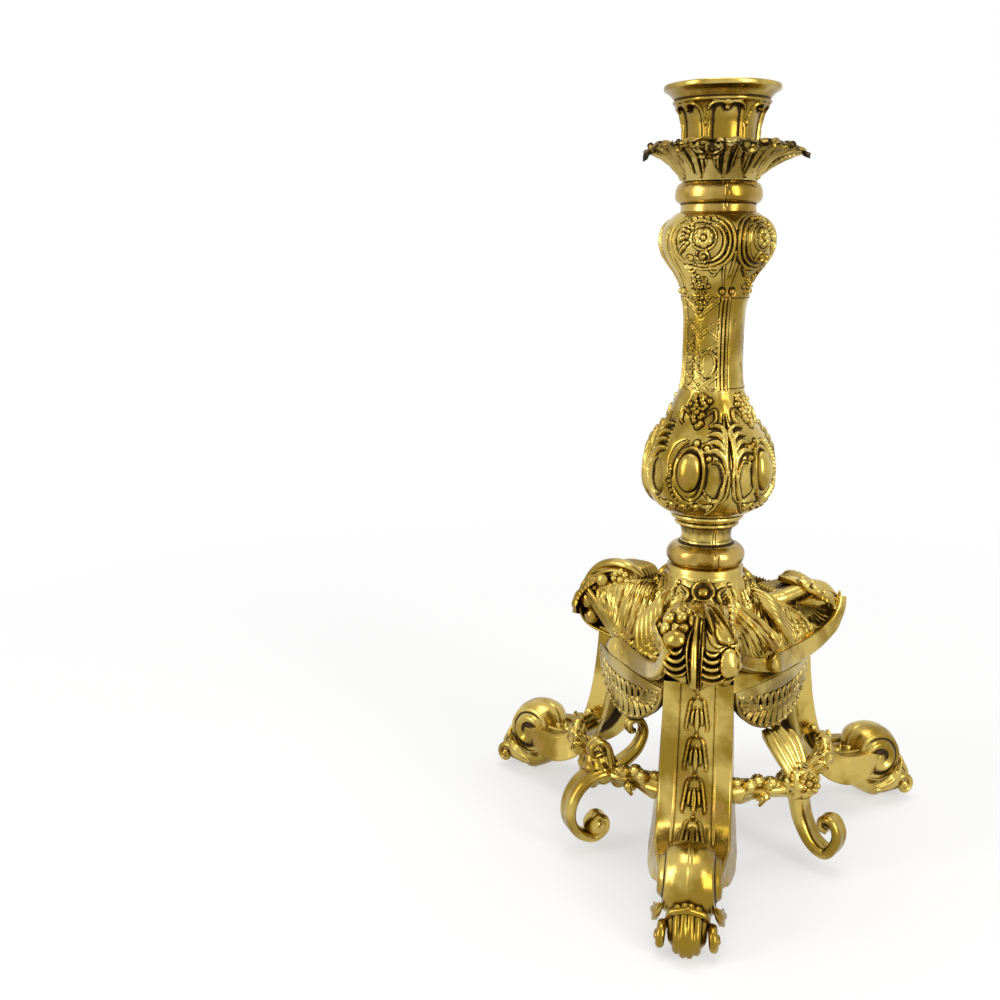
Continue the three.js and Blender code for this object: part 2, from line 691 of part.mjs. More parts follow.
// The strap without its channel, grown by the clearance: what a neighbour must keep out of.
function legEnvelope() {
  return sweep(legLine(), LEG_STEPS, (t) => {
    const { half, base, depth } = legSection(t);
    return [
      [-base - CLEARANCE, depth + CLEARANCE],
      [-half - CLEARANCE, -CLEARANCE],
      [half + CLEARANCE, -CLEARANCE],
      [base + CLEARANCE, depth + CLEARANCE],
    ];
  }, LATERAL);
}

const SCREW_REACH = LEG_RADIUS - LEG_FLANGE_TOP - SCREW_HEAD_RADIUS - 1;

// Level plate behind the top of the strap, grown sideways and down by a margin.
function legTongue(margin) {
  const depth = LEG_TONGUE_THICKNESS + margin;
  return block(
    [LEG_TONGUE + margin, LEG_FACE_WIDTH - 2 * LEG_FLANGE_WALL + 2 * margin, depth],
    [LEG_RADIUS - (LEG_WEB + LEG_TONGUE + margin) / 2, 0, LEG_SEAT - depth / 2],
  );
}

function leg() {
  const knob = pillow(circleOutline(KNOB_REACH, KNOB_HEIGHT, KNOB_RADIUS, 12), KNOB_WIDTH / 2, { rows: 5 });
  const toeLine = smoothOutline([
    [KNOB_REACH + 5, KNOB_HEIGHT + 4],
    [TOE_REACH - 8, KNOB_HEIGHT - 2],
    [TOE_REACH, KNOB_HEIGHT * 0.42],
    [TOE_REACH - 5, 0],
    [TOE_REACH - 16, -1],
    [KNOB_REACH - 4, 4],
  ], 12);
  const toe = pillow(toeLine, TOE_WIDTH / 2, { rows: 5, fullness: 2.8 });
  const curls = [-1, 1].map((side) => {
    const outline = circleOutline(TOE_REACH - 13, TOE_CURL_RADIUS + 4.5, TOE_CURL_RADIUS, 7);
    return solid(pillow(outline, 3.4, { rows: 4 }).translate(0, side * (TOE_WIDTH / 2 + 1), 0));
  });
  const screwHole = solid(cylinder(SCREW_RADIUS + CLEARANCE, LEG_SEAT - 8, 16, 10)
    .translate(SCREW_REACH, 0, 0));
  const floor = solid(block([60, 60, 10], [TOE_REACH - 10, 0, -5]));
  const whole = union([solid(legStrap()), solid(knob), solid(toe), ...curls, solid(legTongue(0))]);
  return geometryOf(cut(whole, [screwHole, floor]));
}

// ------------------------------------------------------------------ base body

const VOLUTE_ROUNDING = { rows: 5, fullness: 3 };

// Point in a corner's radial plane: 0 to 1 from the volute's back to its reach, and from the
// legs' top to the top of the base.
const onVolute = (out, up) => [
  THREE.MathUtils.lerp(VOLUTE_BACK, VOLUTE_REACH, out),
  LEG_SEAT + up * BODY_HEIGHT,
];

const VOLUTE_OUTLINE = [
  [0, 0.72], [0.34, 0.81], [0.68, 0.76], [0.94, 0.57], [1, 0.33], [0.9, 0.1], [0.56, -0.05], [0.1, 0.06],
].map(([out, up]) => onVolute(out, up));

const HOLLOW_OUTLINE = [
  [0.3, 0.66], [0.64, 0.67], [0.88, 0.42], [0.7, 0.18], [0.34, 0.2], [0.22, 0.44],
].map(([out, up]) => onVolute(out, up));

const voluteForm = (grow = 0) => (
  pillow(smoothOutline(VOLUTE_OUTLINE, 13), VOLUTE_HALF_WIDTH, { ...VOLUTE_ROUNDING, grow })
);

function bodyShell() {
  const around = 24;
  const bodyHeight = BODY_HEIGHT - BODY_NECK_HEIGHT;
  const neck = BODY_TOP - BODY_NECK_HEIGHT;
  // Cavetto from the neck down to the lower edge, wider at the corners.
  const outer = [0, 0.2, 0.42, 0.66, 0.85].map((share) => {
    const side = THREE.MathUtils.lerp(BODY_TOP_RADIUS + 0.6, BODY_SIDE_RADIUS, share ** 1.5);
    const corner = THREE.MathUtils.lerp(BODY_TOP_RADIUS + 0.6, BODY_CORNER_RADIUS, share ** 0.9);
    return [side, corner, neck - share * bodyHeight];
  });
  const rows = [
    [ROD_BORE, ROD_BORE, BODY_TOP],
    [BODY_TOP_RADIUS, BODY_TOP_RADIUS, BODY_TOP],
    ...outer,
    [BODY_SIDE_RADIUS, BODY_CORNER_RADIUS, LEG_SEAT],
    [BODY_SIDE_RADIUS - BODY_WALL, BODY_CORNER_RADIUS - BODY_WALL, LEG_SEAT],
    ...outer.slice(2).reverse()
      .map(([side, corner, height]) => [side - BODY_WALL, corner - BODY_WALL - 1, height]),
    [BODY_TOP_RADIUS - 1, BODY_TOP_RADIUS - 1, CROWN_UNDERSIDE],
    [ROD_BORE, ROD_BORE, CROWN_UNDERSIDE],
  ];
  const rings = rows.map(([side, corner, height]) => Array.from({ length: around }, (_, i) => {
    const angle = (i * 360) / around;
    const past = THREE.MathUtils.euclideanModulo(angle - FRONT + HALF_PITCH, 2 * HALF_PITCH);
    const away = Math.abs(past - HALF_PITCH);
    const share = Math.cos(radians((away * 90) / HALF_PITCH)) ** 2;
    const radius = side + (corner - side) * share;
    return new THREE.Vector3(radius * Math.cos(radians(angle)), radius * Math.sin(radians(angle)), height);
  }));
  return loft(rings, true);
}

// Moulded band from the middle of a side, along the lower edge and up round the volute.
function edgeBand(side, grow = 0) {
  const half = HALF_PITCH;
  const middle = [BODY_SIDE_RADIUS * Math.cos(radians(half)), BODY_SIDE_RADIUS * Math.sin(radians(half))];
  const edge = LEG_SEAT + BAND_RISE + BAND_HEIGHT / 2;
  const beside = (out, up, stand) => {
    const [x, z] = onVolute(out, up);
    return [x, side * (VOLUTE_HALF_WIDTH + stand), z];
  };
  const path = smoothCurve([
    [middle[0] + 0.5, side * (middle[1] + 0.8), edge],
    [middle[0] + 12, side * (middle[1] - 9), edge],
    beside(0.6, 0.22, 5),
    beside(0.84, 0.34, 2.2),
    beside(0.94, 0.48, 0.8),
    beside(0.86, 0.62, 0.2),
  ]);
  const reference = new THREE.Vector3(0.42, side * 0.9, 0).normalize();
  const h = BAND_HEIGHT / 2 + grow;
  const b = BAND_THICKNESS / 2 + grow;
  return sweep(path, 6, (t) => {
    const taper = keyed([[0, 1], [0.7, 1], [1, 0.55]], t);
    const step = b * 0.45;
    return [
      [-b, -h], [b, -h], [b, 0], [b - step, h], [-b, h],
    ].map(([across, up]) => [across * taper, -up * taper * side]);
  }, reference);
}

function baseBody() {
  const pieces = [solid(bodyShell())];
  const tools = [];
  const hollowDepth = VOLUTE_HOLLOW + 1;
  const seat = [LEG_TONGUE + 2, LEG_FACE_WIDTH - 2 * LEG_FLANGE_WALL, 12];
  const threadHole = SCREW_LENGTH - LEG_TONGUE_THICKNESS + 1.3;
  CORNERS.forEach(({ azimuth }) => {
    const turn = radians(azimuth);
    const place = (geometry) => solid(geometry.rotateZ(turn));
    pieces.push(place(voluteForm()));
    pieces.push(place(block(seat, [LEG_RADIUS - seat[0] / 2 - 1, 0, LEG_SEAT + seat[2] / 2])));
    [-1, 1].forEach((side) => {
      pieces.push(place(edgeBand(side)));
      tools.push(place(pillow(smoothOutline(HOLLOW_OUTLINE, 7), hollowDepth, { rows: 4 })
        .translate(0, side * (VOLUTE_HALF_WIDTH + 1), 0)));
    });
    tools.push(place(legEnvelope()), place(legTongue(CLEARANCE)));
    tools.push(place(cylinder(SCREW_RADIUS + CLEARANCE, LEG_SEAT - 1, threadHole, 10)
      .translate(SCREW_REACH, 0, 0)));
    const boss = circleOutline(0, 0, BOSS_RADIUS, 8);
    pieces.push(place(pillow(boss, 2.4, { rows: 4 })
      .rotateZ(-Math.PI / 2)
      .rotateY(-0.5)
      .translate(BODY_TOP_RADIUS + 3, 0, BODY_TOP - BODY_NECK_HEIGHT - 3.5)));
  });
  return geometryOf(cut(union(pieces), tools));
}

add('base_body', baseBody(), 'gilt');

// ------------------------------------------------------------------ corner leaves

// Line of the leaf's back in its radial plane, from its root over the volute to its tip.
const leafLine = () => smoothCurve([
  [0.3, 0.82], [0.5, 0.8], [0.72, 0.74], [0.93, 0.58], [1, 0.36], [0.95, 0.15],
].map(([out, up]) => {
  const [x, z] = onVolute(out, up);
  return [x, 0, z];
}));

// Share of the half width along the leaf, from its root to its tip.
const LEAF_KEYS = [
  [0, 0.25], [0.2, 0.45], [0.35, 0.62], [0.52, 0.86], [0.7, 1], [0.86, 0.94], [1, 0.1],
];

function cornerLeaf() {
  const across = 5;
  const blade = sweep(leafLine(), 7, (t) => {
    const half = LEAF_HALF_WIDTH * keyed(LEAF_KEYS, t);
    const thickness = LEAF_THICKNESS * keyed([[0, 0.3], [0.35, 1], [1, 0.8]], t);
    const point = (i, lift) => {
      const s = half * (i / across) * 2 - half;
      const aside = s / LEAF_HALF_WIDTH;
      const rib = LEAF_RIB * Math.exp(-((aside / 0.11) ** 2));
      const fold = LEAF_FOLD * Math.cos(aside * Math.PI * 3);
      const face = lift * (thickness + (rib + fold) * Math.min(1, 3 * t));
      return [s, LEAF_WRAP * aside * aside - LEAF_STANDOFF - face];
    };
    const back = Array.from({ length: across + 1 }, (_, i) => point(i, 0));
    const face = Array.from({ length: across + 1 }, (_, i) => point(across - i, 1));
    return [...back, ...face];
  }, LATERAL);
  const grow = CLEARANCE + 0.2;
  const tools = [
    solid(voluteForm(grow)),
    solid(legEnvelope()),
    ...[-1, 1].map((side) => solid(edgeBand(side, grow))),
  ];
  return geometryOf(cut(solid(blade), tools));
}

// ------------------------------------------------------------------ pierced aprons

function apron() {
  // The ends run into the sides of the neighbouring legs, and the middle follows the base.
  const reach = LEG_RADIUS - LEG_FLANGE_TOP / 2;
  const lean = radians(HALF_PITCH);
  const endRadius = reach * Math.cos(lean) + (LEG_FACE_WIDTH / 2) * Math.sin(lean) - APRON_THICKNESS / 2;
  const half = reach * Math.sin(lean) - (LEG_FACE_WIDTH / 2) * Math.cos(lean) + 1;
  const bulge = BODY_SIDE_RADIUS - APRON_SETBACK - endRadius;
  const plate = new THREE.Shape();
  plate.moveTo(-half, 0);
  plate.lineTo(-half, -APRON_DROP * 0.25);
  const scallops = 14;
  const shoulder = APRON_DROP * 0.25;
  for (let i = 0; i <= scallops; i += 1) {
    const angle = Math.PI + (i / scallops) * Math.PI;
    const wave = SCALLOP_DEPTH * Math.abs(Math.sin((i / scallops) * Math.PI * APRON_PETALS));
    const drop = APRON_DROP - shoulder - SCALLOP_DEPTH + wave;
    plate.lineTo(half * Math.cos(angle), drop * Math.sin(angle) - shoulder);
  }
  plate.lineTo(half, 0);
  for (let i = 1; i < 8; i += 1) plate.lineTo(half - (i / 4) * half, 0);
  for (let i = 0; i < APRON_PETALS; i += 1) {
    const angle = Math.PI + ((i + 0.5) / APRON_PETALS) * Math.PI;
    const centre = [half * 0.66 * Math.cos(angle), -APRON_DROP * 0.27 + APRON_DROP * 0.36 * Math.sin(angle)];
    const tilt = Math.atan2(Math.sin(angle) * APRON_DROP, Math.cos(angle) * half);
    const petal = new THREE.Path();
    const length = PETAL_LENGTH * (0.62 + 0.38 * Math.abs(Math.sin(angle)));
    petal.absellipse(centre[0], centre[1], length / 2, PETAL_WIDTH / 2, 0, Math.PI * 2, true, tilt);
    plate.holes.push(petal);
  }
  const depth = APRON_THICKNESS;
  const sheet = new THREE.ExtrudeGeometry(plate, { depth, bevelEnabled: false, curveSegments: 3 })
    .rotateX(Math.PI / 2)
    .rotateZ(Math.PI / 2)
    .translate(endRadius, 0, LEG_SEAT - CLEARANCE);
  const points = sheet.getAttribute('position');
  for (let i = 0; i < points.count; i += 1) {
    const share = points.getY(i) / half;
    points.setX(i, points.getX(i) + bulge * (1 - share * share));
  }
  const neighbours = [-1, 1].map((side) => solid(legEnvelope().rotateZ(radians(side * HALF_PITCH))));
  return geometryOf(cut(solid(sheet), neighbours));
}

// ------------------------------------------------------------------ scroll brackets

function scrollBracket() {
  const r = BRACKET_RADIUS;
  const z = BRACKET_HEIGHT;
  const low = BRACKET_FOOT_CLEAR + BRACKET_THICKNESS / 2;
  const strip = (points, steps, taperKeys) => solid(sweep(
    smoothCurve(points.map(([x, height]) => [x, 0, height])),
    steps,
    (t) => {
      const taper = keyed(taperKeys, t);
      return ellipse((BRACKET_WIDTH / 2) * taper, (BRACKET_THICKNESS / 2) * taper, 6);
    },
    LATERAL,
  ));
  const scroll = [
    [0, 1], [0.27, 0.85], [0.2, 0.61], [0, 0.34], [0.1, 0.18],
    [0.53, 0], [0.97, 0.14], [1, 0.36], [0.63, 0.4],
  ].map(([out, up]) => [r + out * BRACKET_SCROLL, low + up * (z - low)]);
  const crest = [
    [0, 0], [0.41, 0.08], [0.82, 0.4], [1, 0.8], [0.74, 1], [0.56, 0.72],
  ].map(([inwards, up]) => [r - inwards * BRACKET_CREST, z + up * BRACKET_CREST_RISE]);
  const lower = strip(scroll, 13, [[0, 1], [0.6, 1], [0.85, 0.8], [1, 0.9]]);
  const upper = strip(crest, 8, [[0, 1], [0.7, 0.7], [1, 0.75]]);
  const knuckle = solid(pillow(circleOutline(r, z, BRACKET_KNUCKLE, 9), BRACKET_WIDTH, { rows: 5 }));
  const legSide = LEG_FACE_WIDTH / 2 - 3;
  const arms = [-1, 1].map((side) => {
    const angle = radians(side * HALF_PITCH);
    const anchor = [LEG_RADIUS - 2, -side * legSide];
    const end = [
      anchor[0] * Math.cos(angle) - anchor[1] * Math.sin(angle),
      anchor[0] * Math.sin(angle) + anchor[1] * Math.cos(angle),
    ];
    const path = smoothCurve([
      [r, 0, z],
      [r - 2, side * 12, z - 3],
      [(r + end[0]) / 2 - 1, end[1] * 0.72, z - 3.5],
      [end[0], end[1], z - 1],
    ]);
    const radiusAt = (t) => BRACKET_ARM_RADIUS * keyed([[0, 1], [0.5, 0.8], [0.8, 1.35], [1, 1.1]], t);
    const sectionAt = (t) => ellipse(radiusAt(t), radiusAt(t) * 0.9, 6);
    return solid(sweep(path, 6, sectionAt, new THREE.Vector3(0, 0, 1)));
  });
  const neighbours = [-1, 1].map((side) => solid(legEnvelope().rotateZ(radians(side * HALF_PITCH))));
  return geometryOf(cut(union([lower, upper, knuckle, ...arms]), neighbours));
}

// ------------------------------------------------------------------ repeated castings

const legGeometry = leg();
const leafGeometry = cornerLeaf();
CORNERS.forEach(({ side, azimuth }) => {
  add(`leg_${side}`, legGeometry, 'gilt', azimuth);
  add(`corner_leaf_${side}`, leafGeometry, 'gilt', azimuth);
});

const apronGeometry = apron();
const bracketGeometry = scrollBracket();
GAPS.forEach(({ side, azimuth }) => {
  add(`apron_${side}`, apronGeometry, 'gilt_dark', azimuth);
  add(`scroll_bracket_${side}`, bracketGeometry, 'gilt', azimuth);
});

// ------------------------------------------------------------------ fastenings

function ringPlate(radius, bore, base, height, sides) {
  return revolve([[bore, base], [radius, base], [radius, base + height], [bore, base + height]], sides);
}

const rodFoot = NUT_TOP - NUT_HEIGHT - ROD_TAIL;
add('tie_rod', cylinder(ROD_RADIUS, rodFoot, CUP_FOOT + ROD_GRIP - rodFoot, 16), 'steel');
add('rod_washer', ringPlate(WASHER_RADIUS, ROD_BORE, NUT_TOP, WASHER_THICKNESS, 16), 'steel');

function hexNut() {
  const corner = NUT_ACROSS_FLATS / 2 / Math.cos(Math.PI / 6);
  const foot = NUT_TOP - NUT_HEIGHT;
  const blank = solid(cylinder(corner, foot, NUT_HEIGHT, 6));
  return geometryOf(blank.subtract(solid(cylinder(ROD_BORE, foot - 1, NUT_HEIGHT + 2, 16))));
}

add('rod_nut', hexNut(), 'steel');

function legScrew() {
  const underside = LEG_SEAT - LEG_TONGUE_THICKNESS;
  const profile = [
    [0, underside - SCREW_HEAD_HEIGHT],
    [SCREW_HEAD_RADIUS * 0.8, underside - SCREW_HEAD_HEIGHT],
    [SCREW_HEAD_RADIUS, underside - SCREW_HEAD_HEIGHT * 0.6],
    [SCREW_HEAD_RADIUS, underside],
    [SCREW_RADIUS, underside],
    [SCREW_RADIUS, underside + SCREW_LENGTH],
    [0, underside + SCREW_LENGTH],
  ];
  return revolve(profile, 10).translate(SCREW_REACH, 0, 0);
}

CORNERS.forEach(({ side, azimuth }) => add(`leg_screw_${side}`, legScrew(), 'steel', azimuth));

// ------------------------------------------------------------------ placing

// The origin is the middle of the footprint, on the table.
const footprint = new THREE.Box3().setFromObject(stand, true);
stand.position.y = -(footprint.min.y + footprint.max.y) / 2;

const candlestick = new THREE.Group();
candlestick.add(stand);

export default candlestick;
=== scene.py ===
import math

import bpy
import numpy as np
from mathutils import Matrix, Vector


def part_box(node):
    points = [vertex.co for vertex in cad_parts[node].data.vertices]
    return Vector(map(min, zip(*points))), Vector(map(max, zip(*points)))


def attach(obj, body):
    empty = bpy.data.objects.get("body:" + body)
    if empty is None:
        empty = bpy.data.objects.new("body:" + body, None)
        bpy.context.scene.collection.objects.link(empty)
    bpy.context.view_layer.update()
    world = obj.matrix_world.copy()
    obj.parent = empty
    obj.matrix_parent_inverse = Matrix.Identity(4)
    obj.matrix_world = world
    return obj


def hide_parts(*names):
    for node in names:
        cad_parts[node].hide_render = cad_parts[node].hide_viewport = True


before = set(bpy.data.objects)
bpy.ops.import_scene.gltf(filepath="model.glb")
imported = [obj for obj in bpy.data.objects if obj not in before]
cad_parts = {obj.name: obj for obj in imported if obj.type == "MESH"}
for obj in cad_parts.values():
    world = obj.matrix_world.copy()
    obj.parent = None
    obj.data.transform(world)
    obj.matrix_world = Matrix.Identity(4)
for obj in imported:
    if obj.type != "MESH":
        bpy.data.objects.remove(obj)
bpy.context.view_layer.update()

# ---------------------------------------------------------------- measures
# Millimetres from the stand's axis, +Z up, azimuths in degrees, the front leg at -90.

TO_METRES = 0.001
FRONT = -90
CORNER_PITCH = 120
TURN = 2 * math.pi
rng = np.random.default_rng(11)


def span(node):
    """Lowest and highest corner of a CAD node, in millimetres."""
    low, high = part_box(node)
    return np.array(low) / TO_METRES, np.array(high) / TO_METRES


ROD_LOW, ROD_HIGH = span("tie_rod")
AXIS = np.array([*(ROD_LOW + ROD_HIGH)[:2] / 2, 0])
BORE = (ROD_HIGH - ROD_LOW)[0] / 2 + 0.3
LEG_SEAT = span("leg_front")[1][2]
BODY_TOP, STEM_FOOT = (span("lower_ring")[side][2] for side in (0, 1))
STEM_TOP, PAN_SEAT = (span("collar_ring")[side][2] for side in (0, 1))
CUP_FOOT, CUP_TOP = (span("candle_cup")[side][2] for side in (0, 1))

# ---------------------------------------------------------------- lines and profiles


def smooth(points, steps=10):
    """Catmull-Rom curve: cubics whose end slopes are half the difference of the neighbours."""
    points = np.array(points, float)
    ends = np.vstack((2 * points[0] - points[1], points, 2 * points[-1] - points[-2]))
    t = (np.arange((len(points) - 1) * steps + 1) / steps)[:, None]
    first = np.minimum(t[:, 0].astype(int), len(points) - 2)
    t = t - first[:, None]
    a, b, c, d = (ends[first + k] for k in range(4))
    return 0.5 * (2 * b + (c - a) * t + (2 * a - 5 * b + 4 * c - d) * t**2 + (3 * b - a - 3 * c + d)
                  * t**3)


def spaced(line, count):
    """The same line with its points at equal distances along it, and those distances."""
    run = np.concatenate(([0], np.cumsum(np.linalg.norm(np.diff(line, axis=0), axis=1))))
    at = np.linspace(0, run[-1], count)
    return np.stack([np.interp(at, run, line[:, k]) for k in range(line.shape[1])], 1), at


def profile(*runs, step):
    """Smooth runs of (radius, height) end to end, with corners between them, sampled every step."""
    line = np.vstack([smooth(run) if len(run) > 2 else np.array(run, float) for run in runs])
    length = np.linalg.norm(np.diff(line, axis=0), axis=1).sum()
    points, run = spaced(line, int(length / step) + 1)
    soft = points.copy()
    soft[1:-1] = (points[:-2] + 2 * points[1:-1] + points[2:]) / 4
    return soft, run


def arc(x, y, width, height, start, end, count=22):
    """Part of an ellipse: centre plus (width cos a, height sin a), a from start to end degrees."""
    a = np.radians(np.linspace(start, end, count))
    return np.stack((x + width * np.cos(a), y + height * np.sin(a)), 1)


def curl(x, y, size, start, turns, count=34, core=0.3):
    """Spiral whose radius shrinks evenly from size to its core while it turns."""
    share = np.linspace(0, 1, count)
    a = np.radians(start) + TURN * turns * share
    r = size * (1 - (1 - core) * share)
    return np.stack((x + r * np.cos(a), y + r * np.sin(a)), 1)


def sway(*points):
    """A smooth stroke line through a few points."""
    return smooth(points, 7)


def polar(angle, radius, height):
    """Points at an angle in radians, a radius and a height, which broadcast together."""
    angle, radius, height = np.broadcast_arrays(angle, radius, height)
    return np.stack((radius * np.cos(angle), radius * np.sin(angle), height), -1)


def turned_to(points, azimuth):
    """Points that were made in the plane of azimuth 0, turned about the axis."""
    c, s = math.cos(math.radians(azimuth)), math.sin(math.radians(azimuth))
    x, y, z = points[..., 0], points[..., 1], points[..., 2]
    return np.stack((c * x - s * y, s * x + c * y, z), -1)


def bump_at(angle, centre, half):
    """1 at an azimuth, easing to 0 at the half width, all in degrees."""
    away = np.abs((angle - centre + 180) % 360 - 180)
    share = np.clip(1 - away / half, 0, 1)
    return share * share * (3 - 2 * share)


# ---------------------------------------------------------------- relief


def from_line(x, y, line):
    """Distance of every grid point from a bent line, and its share of the way along it."""
    start, step = line[:-1], np.diff(line, axis=0)
    px, py = x - start[:, 0, None, None], y - start[:, 1, None, None]
    sx, sy = step[:, 0, None, None], step[:, 1, None, None]
    share = np.clip((px * sx + py * sy) / (sx * sx + sy * sy + 1e-12), 0, 1)
    gap = (px - share * sx) ** 2 + (py - share * sy) ** 2
    near = gap.argmin(0)[None]
    along = (near + np.take_along_axis(share, near, 0)) / len(step)
    return np.sqrt(np.take_along_axis(gap, near, 0))[0], along[0]


TAPERS = {
    "even": lambda t: np.ones_like(t),
    "leaf": lambda t: np.sin(np.pi * np.clip(t, 0.004, 0.996)) ** 0.6,
    "tail": lambda t: np.clip(1.02 - t, 0, 1) ** 0.6,
    "drop": lambda t: np.sin(np.pi * np.clip(t, 0.004, 0.996) ** 1.7) ** 0.7,
    "swell": lambda t: 0.45 + 0.55 * t,
}


MIDDLE = (0, 0, 0, 1, 1)


def spot_at(azimuth, along, mirror=1):
    """A place on a round sheet: azimuth in degrees, millimetres along its rows, upright."""
    return math.radians(azimuth), along, 0, 1, mirror


def both_sides(place):
    """The mirror image of a place and the place itself, for what is drawn alike on both sides."""
    return [(*place[:4], -place[4]), place]


class Relief:
    """Heights in millimetres over a sheet of rows and columns.

    A round sheet has its columns in radians and a girth, the radius of each row; a flat one is all
    in millimetres. A place is (across, along, turn in degrees, scale, mirror), and an ornament is
    drawn there in its own x and y in millimetres.
    """

    def __init__(self, along, across, girth=None):
        self.along, self.across = along, across
        self.round = girth is not None
        self.girth = girth if self.round else np.ones_like(along)
        self.height = np.zeros((len(along), len(across)))

    def window(self, place, centre, reach):
        """Rows and columns within reach of a point of the ornament, and their x and y in it."""
        across, along, turn, scale, mirror = place
        c, s = math.cos(math.radians(turn)), math.sin(math.radians(turn))
        px, py = centre[0] * scale * mirror, centre[1] * scale
        ox, oy = c * px - s * py, s * px + c * py
        reach = reach * scale
        rows = np.flatnonzero(np.abs(self.along - along - oy) <= reach)
        if len(rows) == 0:
            return None
        gap = self.across - across
        if self.round:
            gap = (gap + math.pi) % TURN - math.pi
        girth = self.girth[rows]
        near, far = gap * girth.min(), gap * girth.max()
        columns = np.flatnonzero((np.minimum(near, far) <= ox + reach) & (np.maximum(near,
                                                                                     far) >= ox
                                                                          - reach))
        if len(columns) == 0:
            return None
        x = gap[columns] * girth[:, None]
        y = (self.along[rows] - along)[:, None] + 0 * x
        return np.ix_(rows, columns), (c * x + s * y) / scale * mirror, (c * y - s * x) / scale

    def lay(self, spot, form, inside, ditch):
        """Keeps the higher of ground and form inside the form, and sinks the ground round it."""
        ground = self.height[spot] - ditch
        self.height[spot] = np.where(inside, np.maximum(ground, form), ground)

    def stroke(self, place, line, width, lift, taper="leaf", ditch=0.2, crease=0.0):
        """Ridge along a line: lift (1 - q^2)^0.6 for q = distance / half width, creased."""
        line = np.asarray(line, float)
        low, high = line.min(0), line.max(0)
        found = self.window(place, (low + high) / 2, np.hypot(*(high - low)) / 2 + width)
        if found is None:
            return
        spot, x, y = found
        away, along = from_line(x, y, line)
        slim = TAPERS[taper](along)
        half = width / 2 * slim + 1e-3
        q = np.minimum(away / half, 1)
        form = lift * np.sqrt(slim) * ((1 - q * q) ** 0.6 - crease * np.exp(-((q / 0.3) ** 2)))
        beside = np.clip(away - half, 0, None)
        self.lay(spot, form, away < half, ditch * slim * np.exp(-((beside
                                                                   / (0.22 * width + 0.15)) ** 2)))

    def dome(self, place, x0, y0, width, height, lift, ditch=0.2, clear=False):
        """Elliptical boss: lift sqrt(1 - q^2)."""
        found = self.window(place, (x0, y0), max(width, height) / 2 + 1)
        if found is None:
            return
        spot, x, y = found
        q = np.hypot((x - x0) / (width / 2), (y - y0) / (height / 2))
        form = lift * np.sqrt(np.clip(1 - q * q, 0, 1))
        beside = np.clip(q - 1, 0, None) * min(width, height) / 2
        if clear:
            self.height[spot] = np.where(q < 1, np.minimum(self.height[spot], 0), self.height[spot])
        self.lay(spot, form, q < 1, ditch * np.exp(-((beside / 0.4) ** 2)))

    def sink(self, place, x0, y0, width, height, depth, edge=0.35):
        """Elliptical hollow with a flat soft floor."""
        found = self.window(place, (x0, y0), max(width, height) / 2 + 1)
        if found is None:
            return
        spot, x, y = found
        q = np.hypot((x - x0) / (width / 2), (y - y0) / (height / 2))
        self.height[spot] -= depth / (1 + np.exp(np.clip((q - 1) / (edge * 0.3), -40, 40)))

    def ring(self, place, x0, y0, width, height, band, lift, start=0, end=360):
        """Ridge along an ellipse, or along a part of it from start to end degrees."""
        self.stroke(place, arc(x0, y0, width / 2, height / 2, start, end, 30), band, lift, "even",
                    0.15)

    def beads(self, place, line, size, lift):
        """A row of small domes along a line, one bead's width apart."""
        line = np.asarray(line, float)
        count = max(2, int(np.linalg.norm(np.diff(line, axis=0), axis=1).sum() / (size * 1.02)))
        for x, y in spaced(line, count)[0]:
            self.dome(place, x, y, size, size, lift, 0.12)

    def flower(self, place, x0, y0, size, petals, lift):
        """Round petals about a bead."""
        for k in range(petals):
            a = TURN * k / petals + 0.3
            x, y = x0 + size * 0.32 * math.cos(a), y0 + size * 0.32 * math.sin(a)
            self.dome(place, x, y, size * 0.4, size * 0.4, lift * 0.8, 0.3)
        self.dome(place, x0, y0, size * 0.3, size * 0.3, lift, 0.35)

    def scroll(self, place, x0, y0, size, start, turns, width, lift):
        """A spiral ridge that ends in a bead."""
        self.stroke(place, curl(x0, y0, size, start, turns), width, lift, "swell", 0.25)
        self.dome(place, x0, y0, size * 0.62, size * 0.62, lift * 1.15, 0.2)

    def roughen(self, amount, size, rng):
        """Uneven casting: a few sine waves of random direction, about the given size long."""
        across = self.across * (self.girth.mean() if self.round else 1)
        for _ in range(7):
            way = rng.uniform(0, TURN)
            wave = TURN / (size * rng.uniform(0.7, 1.6))
            turns = wave * math.cos(way)
            if self.round:
                turns = round(turns * self.girth.mean()) / self.girth.mean()
            phase = rng.uniform(0, TURN)
            self.height += amount / 3 * np.sin(
                across * turns + (self.along * wave * math.sin(way))[:, None] + phase
            )


# ---------------------------------------------------------------- sheets and pieces


def sheet_normals(points, looped):
    """Unit normals of a grid whose columns close round, from the differences of its neighbours."""
    across = np.roll(points, -1, 1) - np.roll(points, 1, 1)
    along = np.roll(points, -1, 0) - np.roll(points, 1, 0) if looped else np.gradient(points,
                                                                                      axis=0)
    normal = np.cross(across, along)
    normal /= np.linalg.norm(normal, axis=-1, keepdims=True) + 1e-9
    return normal * inside_out(points, looped)


def inside_out(points, looped):
    """1 if the grid's faces point outwards, else -1: the sign of its closed volume."""
    a, b = points, np.roll(points, -1, 1)
    c, d = np.roll(b, -1, 0), np.roll(a, -1, 0)
    if not looped:
        a, b, c, d = a[:-1], b[:-1], c[:-1], d[:-1]
    volume = np.einsum("ijk,ijk", a, np.cross(b, c)) + np.einsum("ijk,ijk", a, np.cross(c, d))
    if not looped:
        for ring, sign in ((points[0], -1), (points[-1], 1)):
            middle = ring.mean(0)
            volume += sign * np.einsum("k,ik->", middle, np.cross(ring, np.roll(ring, -1, 0)))
    return 1 if volume > 0 else -1


